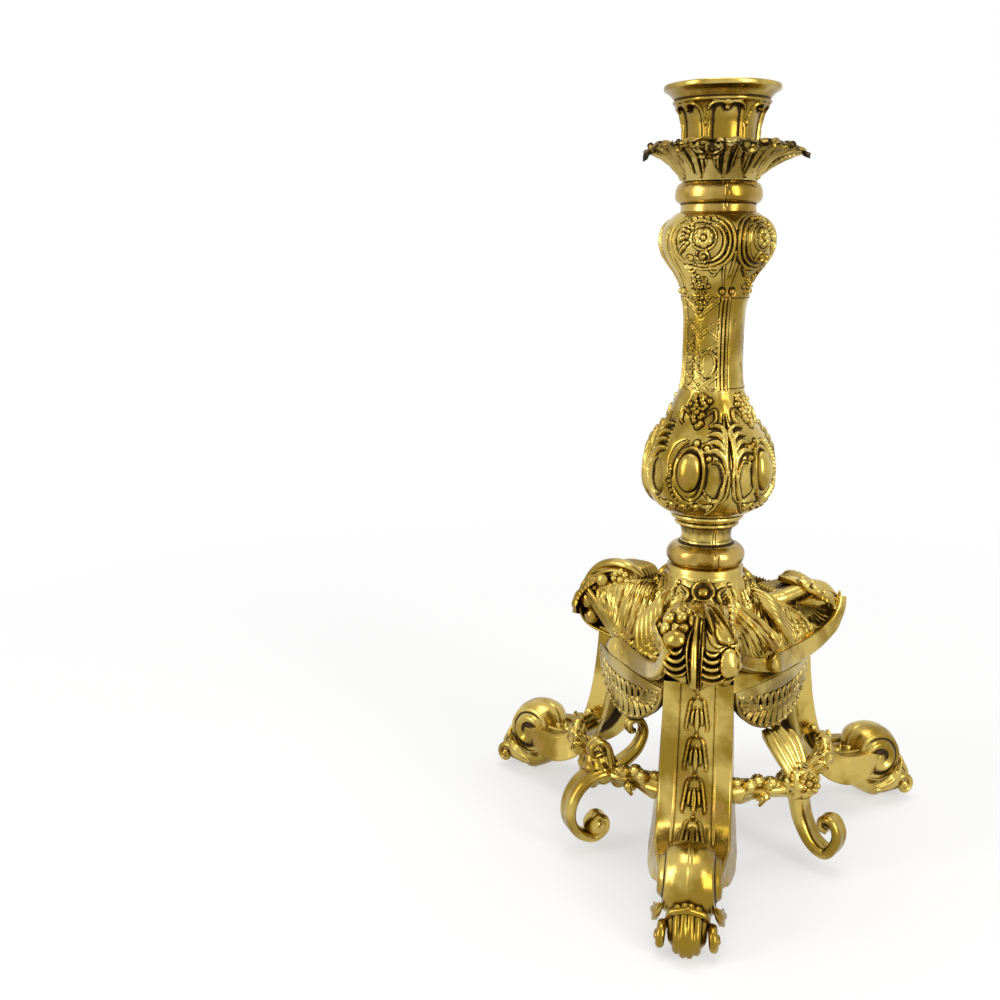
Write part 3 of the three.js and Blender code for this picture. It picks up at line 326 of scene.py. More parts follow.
def raised(points, height):
    """The grid moved along its normals by a relief."""
    return points + sheet_normals(points, False) * height[..., None]


def blurred(points, reach, looped):
    """Mean of the points within a few rows and columns."""
    total = sum(np.roll(points, k, 1) for k in range(-reach, reach + 1)) / (2 * reach + 1)
    if looped:
        return sum(np.roll(total, k, 0) for k in range(-reach, reach + 1)) / (2 * reach + 1)
    padded = np.concatenate((total[:1].repeat(reach, 0), total, total[-1:].repeat(reach, 0)))
    return sum(padded[k:k + len(total)] for k in range(2 * reach + 1)) / (2 * reach + 1)


def recess_of(points, looped, depth):
    """How deep each point lies below its surroundings: their mean, measured along the normal."""
    normal = sheet_normals(points, looped)
    fine = np.einsum("ijk,ijk->ij", blurred(points, 2, looped) - points, normal)
    # The broad mean reaches far round each hollow, like the shade there; the gilt finishes paint
    # the recess brown, so this wide part is painted shade.
    broad = np.einsum("ijk,ijk->ij", blurred(points, 6, looped) - points, normal)
    return np.clip((fine * 1.6 + broad) / depth, -1, 1)


class Sheet:
    """A closed grid in millimetres: its columns close round, its rows loop or end in a point."""

    def __init__(self, points, looped=False, depth=0.5):
        self.points, self.looped = points, looped
        self.recess = recess_of(points, looped, depth)

    def at(self, azimuth):
        """The same sheet turned about the axis, with the recess that is already worked out."""
        twin = object.__new__(Sheet)
        twin.points, twin.looped, twin.recess = turned_to(self.points,
                                                          azimuth), self.looped, self.recess
        return twin

    def parts(self):
        """Vertices, recess, quads and end triangles, faces outwards."""
        rows, columns = self.points.shape[:2]
        grid = np.arange(rows * columns).reshape(rows, columns)
        a, b = grid, np.roll(grid, -1, 1)
        d, c = np.roll(a, -1, 0), np.roll(b, -1, 0)
        quads = np.stack((a, b, c, d), -1)
        vertices, recess = self.points.reshape(-1, 3), self.recess.ravel()
        triangles = np.zeros((0, 3), int)
        if not self.looped:
            quads = quads[:-1]
            ends = []
            for row, middle in ((0, rows * columns), (-1, rows * columns + 1)):
                centre = np.full(columns, middle)
                pair = (grid[row], b[row]) if row else (b[row], grid[row])
                ends.append(np.stack((*pair, centre), -1))
            triangles = np.concatenate(ends)
            vertices = np.vstack((vertices, self.points[0].mean(0), self.points[-1].mean(0)))
            recess = np.append(recess, (self.recess[0].mean(), self.recess[-1].mean()))
        quads = quads.reshape(-1, 4)
        if inside_out(self.points, self.looped) < 0:
            quads, triangles = quads[:, ::-1], triangles[:, ::-1]
        return vertices, recess, quads, triangles


def piece(name, sheets, nodes, finish):
    """One object from closed sheets, riding on the body and standing for its CAD nodes."""
    vertices, recess, quads, triangles, first = [], [], [], [], 0
    for sheet in sheets:
        v, r, q, t = sheet.parts()
        vertices.append(v)
        recess.append(r)
        quads.append(q + first)
        triangles.append(t + first)
        first += len(v)
    quads, triangles = np.concatenate(quads), np.concatenate(triangles)
    corners = np.concatenate((quads.ravel(), triangles.ravel())).astype(np.int32)
    sizes = np.concatenate((np.full(len(quads), 4), np.full(len(triangles), 3)))
    starts = np.concatenate(([0], np.cumsum(sizes)[:-1])).astype(np.int32)
    places = (np.concatenate(vertices) + AXIS) * TO_METRES
    mesh = bpy.data.meshes.new(name)
    mesh.vertices.add(first)
    mesh.vertices.foreach_set("co", places.astype(np.float32).ravel())
    mesh.loops.add(len(corners))
    mesh.loops.foreach_set("vertex_index", corners)
    mesh.polygons.add(len(sizes))
    mesh.polygons.foreach_set("loop_start", starts)
    mesh.update(calc_edges=True)
    shade = mesh.attributes.new("recess", "FLOAT", "POINT")
    shade.data.foreach_set("value", np.concatenate(recess).astype(np.float32))
    mesh.shade_smooth()
    mesh.set_sharp_from_angle(angle=math.radians(70))
    mesh.materials.append(finish)
    made = bpy.data.objects.new(name, mesh)
    bpy.context.scene.collection.objects.link(made)
    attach(made, "root")
    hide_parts(*nodes)


class Turned:
    """Surface of revolution with relief: rows climb the outside and close through an inner line."""

    def __init__(self, outside, columns, inner):
        (line, self.run), self.inner = outside, inner
        self.radius, self.level = line[:, 0], line[:, 1]
        self.angles = np.linspace(0, TURN, columns, endpoint=False)
        self.relief = Relief(self.run, self.angles, np.maximum(self.radius, 1))

    def at(self, azimuth, level, mirror=1):
        """The place at an azimuth and a height."""
        return spot_at(azimuth, np.interp(level, self.level, self.run), mirror)

    def sheet(self, swell=0):
        """Radius and height moved along the profile's normal by the relief, then the inner rows."""
        dr, dz = np.gradient(self.radius), np.gradient(self.level)
        size = np.hypot(dr, dz) + 1e-9
        lift = self.relief.height
        radius = self.radius[:, None] + swell + lift * (dz / size)[:, None]
        level = self.level[:, None] - lift * (dr / size)[:, None]
        outside = polar(self.angles, radius, level)
        inside = [polar(self.angles, r, z) for r, z in self.inner]
        return Sheet(np.concatenate((outside, np.array(inside))), looped=True)


# ---------------------------------------------------------------- finishes


class Nodes:
    """The node tree of a material or of the world, with short calls for the nodes that it uses."""

    def __init__(self, owner):
        owner.use_nodes = True
        self.owner, self.tree = owner, owner.node_tree

    def put(self, kind, inputs=(), **settings):
        """A new node with its inputs and settings."""
        node = self.tree.nodes.new(kind)
        for key, value in settings.items():
            setattr(node, key, value)
        for key, value in dict(inputs).items():
            self.feed(node.inputs[key], value)
        return node

    def feed(self, socket, value):
        """Links an output to a socket, or sets the socket's own value."""
        if isinstance(value, bpy.types.NodeSocket):
            self.tree.links.new(value, socket)
        else:
            socket.default_value = value

    def noise(self, scale, detail=4, rough=0.55):
        """Noise on the Object coordinates, 0 to 1."""
        inputs = {"Vector": self.place, "Scale": scale, "Detail": detail, "Roughness": rough}
        return self.put("ShaderNodeTexNoise", inputs).outputs["Fac"]

    def ramp(self, value, low, high, out_low=0.0, out_high=1.0):
        """Smooth step of a value from low and high to the two outputs."""
        inputs = {"Value": value, "From Min": low, "From Max": high, "To Min": out_low,
                  "To Max": out_high}
        return self.put("ShaderNodeMapRange", inputs,
                        interpolation_type="SMOOTHSTEP").outputs["Result"]

    def math(self, operation, a, b):
        """Two values added or multiplied, kept between 0 and 1."""
        node = self.put("ShaderNodeMath", operation=operation, use_clamp=True)
        self.feed(node.inputs[0], a)
        self.feed(node.inputs[1], b)
        return node.outputs[0]

    def mix(self, factor, a, b):
        """Colour a at factor 0 and colour b at factor 1."""
        node = self.put("ShaderNodeMix", data_type="RGBA")
        self.feed(node.inputs["Factor"], factor)
        self.feed(node.inputs[6], a)
        self.feed(node.inputs[7], b)
        return node.outputs[2]


def material_nodes(name):
    """The nodes of a new material, with its shader and its Object coordinates at hand."""
    n = Nodes(bpy.data.materials.new(name))
    n.shader = n.tree.nodes["Principled BSDF"]
    n.place = n.put("ShaderNodeTexCoord").outputs["Object"]
    return n


def gilt(name, colour, deep, wear, patina_and_shade, patina_and_shade_reach, gloss):
    """Gilded brass: bright where it stands proud, copper in rubbed patches, brown in recesses,
    where the brown is partly tarnish and partly painted shade.

    colour and deep are the gold's two tones, wear the copper and its strength, patina_and_shade
    the brown of tarnish and painted shade, patina_and_shade_reach how far that brown creeps out of
    the recesses, gloss the roughness of the clean metal.
    """
    n = material_nodes(name)
    recess = n.put("ShaderNodeAttribute", attribute_name="recess").outputs["Fac"]
    cloud, patch, grain = n.noise(38), n.noise(95, 6, 0.6), n.noise(900, 5, 0.65)
    body = n.mix(n.ramp(cloud, 0.4, 0.58), (*colour, 1), (*deep, 1))
    rubbed = n.math("MULTIPLY", n.ramp(patch, 0.56, 0.68), n.ramp(cloud, 0.42, 0.6))
    body = n.mix(n.math("MULTIPLY", rubbed, wear[3]), body, (*wear[:3], 1))
    speck = n.math("MULTIPLY", n.ramp(grain, 0.35, 0.75), 0.35)
    # The hollows and the grain's freckles are painted dark brown: partly tarnish, partly painted
    # shade.
    hollow = n.ramp(n.math("ADD", recess, n.math("MULTIPLY", speck, 0.45)), 0.45 - patina_and_shade_reach,
                    1.05 - patina_and_shade_reach)
    n.feed(n.shader.inputs["Base Color"], n.mix(hollow, body, (*patina_and_shade, 1)))
    n.feed(n.shader.inputs["Metallic"], n.ramp(hollow, 0, 1, 1.0, 0.75))
    rough = n.math("ADD", n.ramp(patch, 0.3, 0.7, gloss, gloss + 0.1),
                   n.math("MULTIPLY", hollow, 0.3))
    n.feed(n.shader.inputs["Roughness"], n.math("ADD", rough, n.math("MULTIPLY", speck, 0.12)))
    bump = n.put("ShaderNodeBump", {"Strength": 0.35, "Distance": 0.0002,
                                    "Height": n.noise(420, 4, 0.6)})
    fine = {"Strength": 0.2, "Distance": 0.00006, "Height": grain, "Normal": bump.outputs["Normal"]}
    n.feed(n.shader.inputs["Normal"], n.put("ShaderNodeBump", fine).outputs["Normal"])
    return n.owner


def plain_steel():
    """Grey steel with a finely mottled roughness and rust freckles."""
    n = material_nodes("rod_steel")
    freckle = n.ramp(n.noise(700), 0.58, 0.7)
    n.feed(n.shader.inputs["Base Color"], n.mix(freckle, (0.32, 0.31, 0.29, 1),
                                                (0.2, 0.1, 0.05, 1)))
    n.shader.inputs["Metallic"].default_value = 1
    n.feed(n.shader.inputs["Roughness"], n.ramp(n.noise(1500), 0.3, 0.7, 0.35, 0.6))
    return n.owner


GILT = gilt("fire_gilt", colour=(0.58, 0.43, 0.11), deep=(0.28, 0.18, 0.022),
            wear=(0.44, 0.23, 0.08, 0.4), patina_and_shade=(0.035, 0.016, 0.001), patina_and_shade_reach=0.22, gloss=0.18)
WORN = gilt("rubbed_gilt", colour=(0.50, 0.345, 0.09), deep=(0.24, 0.145, 0.02),
            wear=(0.42, 0.20, 0.08, 0.7), patina_and_shade=(0.035, 0.016, 0.001), patina_and_shade_reach=0.22, gloss=0.18)
DARK = gilt("tarnished_gilt", colour=(0.50, 0.38, 0.12), deep=(0.24, 0.16, 0.03),
            wear=(0.40, 0.22, 0.09, 0.3), patina_and_shade=(0.03, 0.015, 0.001), patina_and_shade_reach=0.26, gloss=0.24)
STEEL = plain_steel()

# ---------------------------------------------------------------- candle cup


def cusped_arch(x, y, half, sill, spring):
    """Depth inside a panel whose head is two shallow lobes with a cusp between them."""
    lobe = half / 2
    box = np.minimum(half - np.abs(x), y - sill)
    heads = lobe - np.hypot(np.abs(x) - lobe, (y - spring) * 1.25) + 0.2
    return np.where(y < spring, box, heads)


def candle_cup():
    """Turned socket whose radius flares to the rim, with six arched panels between ribs."""
    rim = CUP_TOP
    outside = profile(
        [(12.2, CUP_FOOT), (13.8, CUP_FOOT + 3.2), (14.7, CUP_FOOT + 8), (14.8, CUP_FOOT + 15),
         (15.1, CUP_FOOT + 19)],
        [(15.1, CUP_FOOT + 19), (15.5, rim - 13), (16.2, rim - 10.4), (17.6, rim - 8),
         (18.7, rim - 6.9)],
        [(18.7, rim - 6.9), (18.8, rim - 6.2), (17.9, rim - 5.8)],
        [(17.9, rim - 5.8), (18.8, rim - 4.7), (20.2, rim - 3.2), (21.9, rim - 2.2)],
        [(21.9, rim - 2.2), (22.3, rim - 1.9), (22.3, rim - 0.6)],
        [(22.3, rim - 0.6), (22.0, rim - 0.2), (21.2, rim - 0.1)],
        step=0.33,
    )
    inner = [
        (20, rim - 0.1), (18.6, rim - 0.25), (13.2, rim - 1.9), (11.7, rim - 3.2),
        (11.3, rim - 4.2), (11.2, rim - 12), (11.1, rim - 20.6), (10.6, rim - 21), (5, rim - 21),
        (0.4, rim - 21), (0.4, CUP_FOOT + 8.3), (BORE, CUP_FOOT + 8.3), (BORE, CUP_FOOT),
        (8, CUP_FOOT),
    ]
    cup = Turned(outside, 360, inner)
    half, sill, spring = 6.4, -5.2, 14.2
    for k in range(6):
        place = cup.at(FRONT + 8 + 60 * k, CUP_FOOT + 9)
        spot, x, y = cup.relief.window(place, (0, 6), 18)
        depth = cusped_arch(x, y, half, sill, spring)
        cup.relief.height[spot] -= 1.6 * np.clip(depth / 0.7, 0, 1) ** 1.3
        for side in (-1, 1):
            wide, tall = half / 2 + 0.35, half / 2.5 + 0.4
            head = arc(side * half / 2, spring, wide, tall, 90 - side * 88, 90 + side * 84)
            cup.relief.stroke(place, head, 1.0, 0.6, "even", 0.3)
            flare = sway((side * 0.6, spring + 1.0), (side * 2.4, spring + 2.9),
                         (side * 6.4, spring + 3.6))
            cup.relief.stroke(place, flare, 0.9, 0.3, "tail", 0.2)
        cup.relief.dome(place, 0, spring + 2.4, 3.4, 2.4, 0.35, 0.15)
        rib = cup.at(FRONT + 38 + 60 * k, CUP_FOOT + 9)
        cup.relief.stroke(rib, sway((0, -8), (0, 3), (0, 14)), 2.8, 0.45, "leaf", 0.0, 0.2)
        for half_rib in both_sides(rib):
            branch = sway((0.2, 9), (1.4, 13.4), (3.8, 16.4))
            cup.relief.stroke(half_rib, branch, 1.1, 0.5, "tail", 0.25)
    cup.relief.roughen(0.04, 9, rng)
    return [cup.sheet()]


# ---------------------------------------------------------------- drip pan


PAN_BUDS = [(-63, 6.8, 3.0), (-128, 5.0, 2.2), (-146, 4.4, 2.0), (-20, 4.4, 1.6), (60, 5, 2),
            (120, 5, 2)]


def drip_pan():
    """Ruffled leaf dish: radius and height rise from seat to crest and swell with the azimuth."""
    columns, rows = 560, 100
    azimuth = np.linspace(0, 360, columns, endpoint=False)
    share = np.linspace(0, 1, rows)[:, None]
    right, left = bump_at(azimuth, 2, 15), bump_at(azimuth, 186, 13)
    front = bump_at(azimuth, -101, 17)
    petals = np.abs(np.cos(np.radians(azimuth * 5 + 25)))
    small = np.cos(np.radians(azimuth * 36))
    reach = 27.0 + 1.8 * petals + 5.6 * right + 1.8 * left - 2.0 * front + 0.2 * small
    crest = PAN_SEAT + 12.6 + 1.0 * petals - 2.4 * right - 1.4 * left + 0.8 * front
    spread = np.clip(share * 1.06, 0, 1)
    radius = 14.4 + (reach - 14.4) * spread**1.15
    height = PAN_SEAT + 0.4 + (crest - PAN_SEAT - 0.4) * np.sin(spread * math.pi / 2) ** 0.85
    tip = np.clip((share - 0.86) / 0.14, 0, 1)
    height = height - tip**2 * (1.6 * right + 3.4 * left + 0.9 * petals)
    under = polar(np.radians(azimuth), radius, height)
    relief = Relief(np.linspace(0, 20.5, rows), np.radians(azimuth), radius.mean(1))
    relief.height += 1.1 * (share**0.7) * (petals - 0.5)
    for k in range(10):
        place = spot_at(-83 + 36 * k, 0)
        relief.stroke(place, sway((0, 1), (0.2, 9), (0.8, 20)), 3.4, 1.7, "swell", 0.9, 0.4)
        for half in both_sides(place):
            relief.stroke(half, sway((1.8, 1.5), (3.4, 9), (6.0, 18)), 1.1, 1.5, "leaf", 0.5)
            relief.stroke(half, sway((3.0, 2.5), (5.2, 10), (8.2, 17)), 2.6, 1.4, "drop", 0.7, 0.3)
            relief.dome(half, 3.4, 18.6, 3.6, 3.4, 1.7, 0.6)
        relief.dome(place, 0.6, 19.2, 3.8, 3.2, 2.0, 0.6)
    for centre, size, lift in PAN_BUDS:
        bud = spot_at(centre, 15.6)
        relief.dome(bud, 0, 0, size, size * 1.3, lift, 0.9, True)
        relief.sink(bud, 0.2, 1.2, size * 0.5, size * 0.62, 2.6)
    shell = spot_at(-101, 12.6)
    relief.dome(shell, 0, 1, 12.6, 14, 2.0, 1.1, True)
    for half in both_sides(shell):
        relief.stroke(half, sway((0.6, -3), (3.2, -0.4), (5.6, 1.4)), 1.8, 3.2, "leaf", 0.6)
        relief.sink(half, 3.0, -2.4, 3.4, 2.4, 2.0)
        relief.dome(half, 2.6, -4.4, 3.0, 2.8, 2.6, 0.7)
        relief.sink(half, 2.4, 2.6, 3.2, 2.8, 1.6)
        relief.dome(half, 4.6, 5.2, 4.0, 3.6, 2.6, 0.7)
    relief.stroke(shell, sway((0, -6), (0, 0), (0.4, 6)), 2.0, 3.2, "drop", 0.7)
    relief.stroke(shell, sway((-6, 5.6), (-2, 7.8), (3, 7.4), (6.4, 5.4)), 2.2, 2.8, "leaf", 0.6)
    relief.roughen(0.12, 4, rng)
    normal = np.cross(np.roll(under, -1, 1) - np.roll(under, 1, 1), np.gradient(under, axis=0))
    normal /= np.linalg.norm(normal, axis=-1, keepdims=True)
    outside = under + normal * relief.height[..., None]
    upper = polar(np.radians(azimuth), radius - 1.0 - 0.8 * share,
                  height + 1.9 * (1 - 0.35 * share))[::-1]
    veins = 0.28 * np.cos(np.radians(azimuth * 28)) * share[::-1]
    upper = upper[::4] + np.array([0, 0, 1]) * veins[::4, :, None]
    floor = [(13.2, PAN_SEAT + 2.5), (BORE, PAN_SEAT + 2.5), (BORE, PAN_SEAT), (9, PAN_SEAT)]
    flat = np.array([polar(np.radians(azimuth), r, z) for r, z in floor])
    return [Sheet(np.concatenate((outside, upper, flat)), looped=True, depth=0.7)]


# ---------------------------------------------------------------- rings


def seamed_ring(runs, seam, foot, top):
    """Turned ring with a slit where its casting was joined."""
    ring = Turned(profile(*runs, step=0.3), 260, [(BORE, top), (BORE, foot)])
    place = ring.at(seam, (foot + top) / 2)
    ring.relief.stroke(place, [(0, -9), (0.3, 0), (-0.2, 9)], 0.7, 0.0, "even", 0.45)
    ring.relief.roughen(0.09, 8, rng)
    return [ring.sheet()]


def collar_ring():
    """Half-round ring on a short neck, under the pan."""
    foot, top = STEM_TOP, PAN_SEAT
    runs = [[(14.6, foot), (14.6, foot + 3.1)]]
    runs += [[(14.6, foot + 3.1), (15.8, foot + 3.5), (16.8, foot + 5.2), (16.8, foot + 7.9),
              (15.9, top - 1), (14.6, top)]]
    return seamed_ring(runs, -78, foot, top)


def lower_ring():
    """Half-round ring between the body and the stem."""
    foot, top = BODY_TOP, STEM_FOOT
    runs = [[(13.0, foot), (15.0, foot + 1.2), (15.8, foot + 3.6), (15.5, foot + 6.2),
             (14.2, top - 0.7), (12.9, top)]]
    return seamed_ring(runs, -72, foot, top)


# ---------------------------------------------------------------- baluster stem
# Four faces between smooth corner ribs. Neighbouring faces are mirror images.

STEM_CORNER = -69.5
KNOP_FOOT, SHAFT_FOOT = 226.0, 189.5


def stem_faces():
    """Azimuth of each face's middle and which way round it is drawn."""
    return [(STEM_CORNER - 45 + 90 * k, 1 if k % 2 == 0 else -1) for k in range(4)]


def stem_corners():
    """Azimuth of each corner between two faces."""
    return [STEM_CORNER + 90 * k for k in range(4)]


def knop_face(relief, place):
    """Round cartouche of C-scrolls about a rosette, with leaf scrolls on its left."""
    curls = ((13.0, 84, -128, 1.5), (11.2, 70, -112, 1.2), (9.2, 58, -78, 1.3))
    for size, start, end, width in curls:
        line = arc(0.6, 0, size, size * 0.86, start, end, 40)
        relief.stroke(place, line, width, 1.1, "leaf", 0.35)
    for size, start, end, width in ((13.2, 118, 232, 1.4), (11.4, 132, 240, 1.1)):
        relief.stroke(place, arc(0, 0, size, size * 0.86, start, end, 30), width, 1.0, "leaf", 0.35)
    relief.dome(place, 1.6, 1.4, 8.6, 8.6, 0.7, 0.5)
    relief.flower(place, 1.6, 1.4, 7.4, 7, 1.5)
    relief.ring(place, 1.6, 1.4, 9.6, 9.2, 0.8, 0.8, -150, 120)
    relief.scroll(place, 1.4, -5.6, 3.0, 150, 1.3, 1.1, 1.1)
    relief.scroll(place, -4.2, -6.6, 2.2, 20, -1.2, 1.0, 1.0)
    for k, (x, y, turn) in enumerate(((-9.4, -3.6, 20), (-9.8, 0.6, 0), (-8.8, 4.6, -30),
                                      (-5.6, 7.6, -60))):
        a = math.radians(turn)
        end = (x + 4.6 * math.cos(a), y + 4.6 * math.sin(a) + 1.4)
        relief.stroke(place, sway((x, y - 2.2), (x + 1.2, y), end), 1.5, 1.1, "drop", 0.4)
        relief.dome(place, *end, 1.7, 1.7, 1.2, 0.3)
    for x in (-3.4, -1.0, 1.8, 4.4):
        relief.dome(place, x, 9.8 - abs(x) * 0.1, 2.0, 1.6, 1.0, 0.3)
    relief.stroke(place, sway((-4, 7.4), (0, 8.4), (5.4, 7.0)), 1.0, 0.9, "leaf", 0.3)
    for half in both_sides(place):
        for k in range(3):
            y = -10.6 - 1.7 * k
            line = sway((9.6 - 1.4 * k, y + 2.6), (6.6 - 1.3 * k, y), (3.0, y + 0.4))
            relief.stroke(half, line, 1.5 - 0.2 * k, 1.1, "drop", 0.35)
        relief.stroke(half, sway((14, -4), (11.6, -11), (8.8, -17)), 1.0, 0.7, "tail", 0.2)


def sprig(relief, place):
    """Small flowers and leaves in a drop."""
    for x, y, size in ((0, 0, 3.4), (-2.4, 2.0, 2.4), (2.4, 2.2, 2.4), (-1.6, -2.6, 2.2),
                       (1.6, -2.6, 2.2)):
        relief.flower(place, x, y, size, 5, 0.9)
    for x, y in ((0, -4.9), (-3.6, -0.6), (3.6, -0.4), (0, 3.6), (-0.9, -6.4)):
        relief.dome(place, x, y, 1.5, 1.5, 0.9, 0.25)


def shaft_face(relief, place):
    """Crossed double lines, an oval medallion, and leaf strokes beside them."""
    for y in (19.5, 15.5, 7.5, -1.0, -6.0, -13.5):
        for half in both_sides(place):
            for gap in (0, 1.1):
                fall = [(-7.6, y + 4.6 + gap), (0.4, y - 1.6 + gap)]
                relief.stroke(half, fall, 0.75, 0.36, "even", 0.14)
                if y < 10:
                    rise = [(-7.6, y - 3.4 + gap), (0.4, y + 2.8 + gap)]
                    relief.stroke(half, rise, 0.65, 0.3, "even", 0.12)
    relief.dome(place, 3.4, -4.2, 6.6, 11, 0.35, 0.2, True)
    relief.ring(place, 3.4, -4.2, 5.6, 9.6, 0.9, 0.7, -100, 210)
    relief.stroke(place, curl(3.2, -4, 5.4, -90, 0.55, 24, 0.7), 1.0, 0.7, "leaf", 0.25)
    for k in range(6):
        y = 4.4 - 3.0 * k
        line = sway((-6.4, y - 2.2), (-4.6, y - 1.4), (-3.4, y + 1.2))
        relief.stroke(place, line, 1.2, 0.8, "drop", 0.3)
        relief.dome(place, -3.2, y + 1.4, 1.2, 1.2, 0.8, 0.2)
    relief.stroke(place, sway((-7, 9), (-5.6, 11.6), (-3.2, 12)), 1.0, 0.6)


def shaft_plain_face(relief, place):
    """Polished face with engraved C curves."""
    for x, y, w, h, start, end in ((-1.2, 2, 4, 5, 100, 200), (-1.8, -0.6, 3.4, 5, 90, 190),
                                   (-2.4, -3, 3, 5, 85, 170), (0.8, -9, 3.4, 5.6, 95, 250),
                                   (1.6, -9, 3.2, 5, 100, 230)):
        relief.stroke(place, arc(x, y, w, h, start, end), 0.5, 0.0, "leaf", 0.32)
    for half in both_sides(place):
        relief.stroke(half, sway((5.4, 17), (4.4, 12), (5.4, 7)), 0.5, 0.0, "leaf", 0.25)


def corner_ribs(relief, place, low, high, spread):
    """Three upright cords beside a corner."""
    for x in (-spread, -spread + 1.5, -spread + 3.0):
        line = sway((x, low), (x - 0.15, (low + high) / 2), (x, high))
        relief.stroke(place, line, 1.05, 0.55, "even", 0.3)


def bulb_face(relief, place):
    """Glossy cabochon in a C-scroll, plain ovals beside it, a beaded strip and acanthus sprays."""
    cab, oval = 3.5, 13.6
    relief.stroke(place, arc(cab + 0.3, -0.6, 6.0, 10.4, 150, -120, 40), 1.7, 1.3, "leaf", 0.45)
    relief.stroke(place, arc(cab - 0.6, -2.0, 6.2, 10.6, -160, -60, 30), 1.5, 1.3, "leaf", 0.4)
    relief.dome(place, cab, 0, 9.6, 15.4, 2.3, 0.9, True)
    relief.stroke(place, arc(cab - 1.4, 1.6, 6.6, 10.4, 200, 88, 40), 2.2, 1.3, "leaf", 0.3)
    relief.beads(place, arc(cab - 1.4, 1.6, 6.6, 10.4, 196, 100, 40), 1.25, 1.7)
    relief.dome(place, cab + 1.6, 11.6, 2.6, 2.8, 1.8, 0.4)
    relief.beads(place, arc(cab - 3.0, -3.4, 5.2, 8.8, 172, 262, 30), 1.45, 1.3)
    relief.stroke(place, arc(cab - 3.8, -3.4, 6.0, 10.2, 172, 268, 30), 1.1, 1.0, "leaf", 0.3)
    relief.sink(place, oval, -3.4, 7.4, 14.6, 0.75)
    relief.stroke(place, arc(oval, -3.4, 4.4, 8.0, 120, -170, 40), 1.3, 1.2, "leaf", 0.35)
    relief.stroke(place, arc(oval + 0.4, -2.6, 5.8, 9.8, 96, -110, 40), 1.1, 0.9, "leaf", 0.3)
    relief.dome(place, oval - 2.6, 5.6, 2.4, 2.4, 1.6, 0.4)
    for k in range(4):
        x, y = oval - 0.7 * k, 3.5 * k
        line = sway((x + 5.6, y - 1), (x + 3.8, y + 5.6), (x - 0.2, y + 8.8), (x - 4.2, y + 8.2))
        relief.stroke(place, line, 2.7 - 0.3 * k, 1.6, "leaf", 0.5)
    relief.scroll(place, oval - 4.6, 9.6, 2.4, 20, 1.2, 1.1, 1.3)
    side_oval = -12.4
    relief.sink(place, side_oval, -3.0, 7.0, 13.4, 0.8)
    relief.stroke(place, arc(side_oval, -3.0, 4.2, 7.4, 60, 350, 40), 1.3, 1.2, "leaf", 0.35)
    relief.stroke(place, arc(side_oval - 0.6, -3.0, 5.8, 9.6, 70, 300, 40), 1.2, 1.0, "leaf", 0.3)
    for k in range(4):
        x, y = side_oval + 0.4 * k, 3.5 * k
        line = sway((x - 5.2, y - 2), (x - 3.6, y + 4.6), (x + 0.2, y + 8.2), (x + 4.4, y + 8.4))
        relief.stroke(place, line, 2.7 - 0.3 * k, 1.6, "leaf", 0.5)
    for k in range(5):
        x = -9 + 4.6 * k
        upper = sway((x - 2.6, -12.2), (x, -14.4), (x + 3.2, -13.2))
        relief.stroke(place, upper, 1.5, 1.2, "drop", 0.35)
        lower = sway((x - 0.6, -18.6), (x + 0.3, -16.2), (x + 1.6, -15.2))
        relief.stroke(place, lower, 1.3, 1.0, "drop", 0.3)
    for half in both_sides(place):
        line = sway((17.6, 9), (18.4, -2), (14, -13), (7.4, -20))
        relief.stroke(half, line, 1.3, 1.0, "leaf", 0.35)
        relief.stroke(half, sway((12.6, 23), (14.6, 15), (17.2, 8)), 1.3, 1.0, "leaf", 0.35)


def grape_cluster(relief, place, rows):
    """Beads packed in a hanging bunch, the topmost row widest."""
    for row, count in enumerate(rows):
        for k in range(count):
            x = (k - (count - 1) / 2) * 2.1 + 0.7 * math.sin(row * 2.1 + k * 1.9)
            y = -row * 1.75 + 0.5 * math.sin(row * 1.3 + k * 2.7)
            size = 2.4 + 0.4 * math.sin(row * 3.1 + k * 1.3)
            relief.dome(place, x, y, size, size, 1.45, 0.45)


def stem_knop():
    """Pear-shaped knop: its radius swells to 22.4 mm, and each face has a cartouche."""
    outside = profile([(13.8, KNOP_FOOT), (14.3, 229.5), (16.7, 234.6), (19.7, 238.9),
                       (21.6, 242.7), (22.4, 247), (21.6, 251.4), (19.6, 254.4), (17.6, 256.6)],
                      [(17.6, 256.6), (16.4, 257.4), (14.9, STEM_TOP)], step=0.31)
    knop = Turned(outside, 470, [(BORE, STEM_TOP), (BORE, KNOP_FOOT)])
    relief = knop.relief
    for corner in stem_corners():
        for side in (-1, 1):
            line = sway((4.6, 9), (3.6, 0), (3.2, -8), (1.3, -19))
            relief.stroke(knop.at(corner, 244, side), line, 1.0, 0.6, "leaf", 0.3)
            relief.dome(knop.at(corner, 227.6, side), 2.1, 0.2, 2.4, 2.6, 1.2, 0.4)
    for middle, mirror in stem_faces():
        knop_face(relief, knop.at(middle + 8 * mirror, 246.6, mirror))
        sprig(relief, knop.at(middle, 230.2))
    relief.roughen(0.05, 5, rng)
    return [knop.sheet(-0.5)]


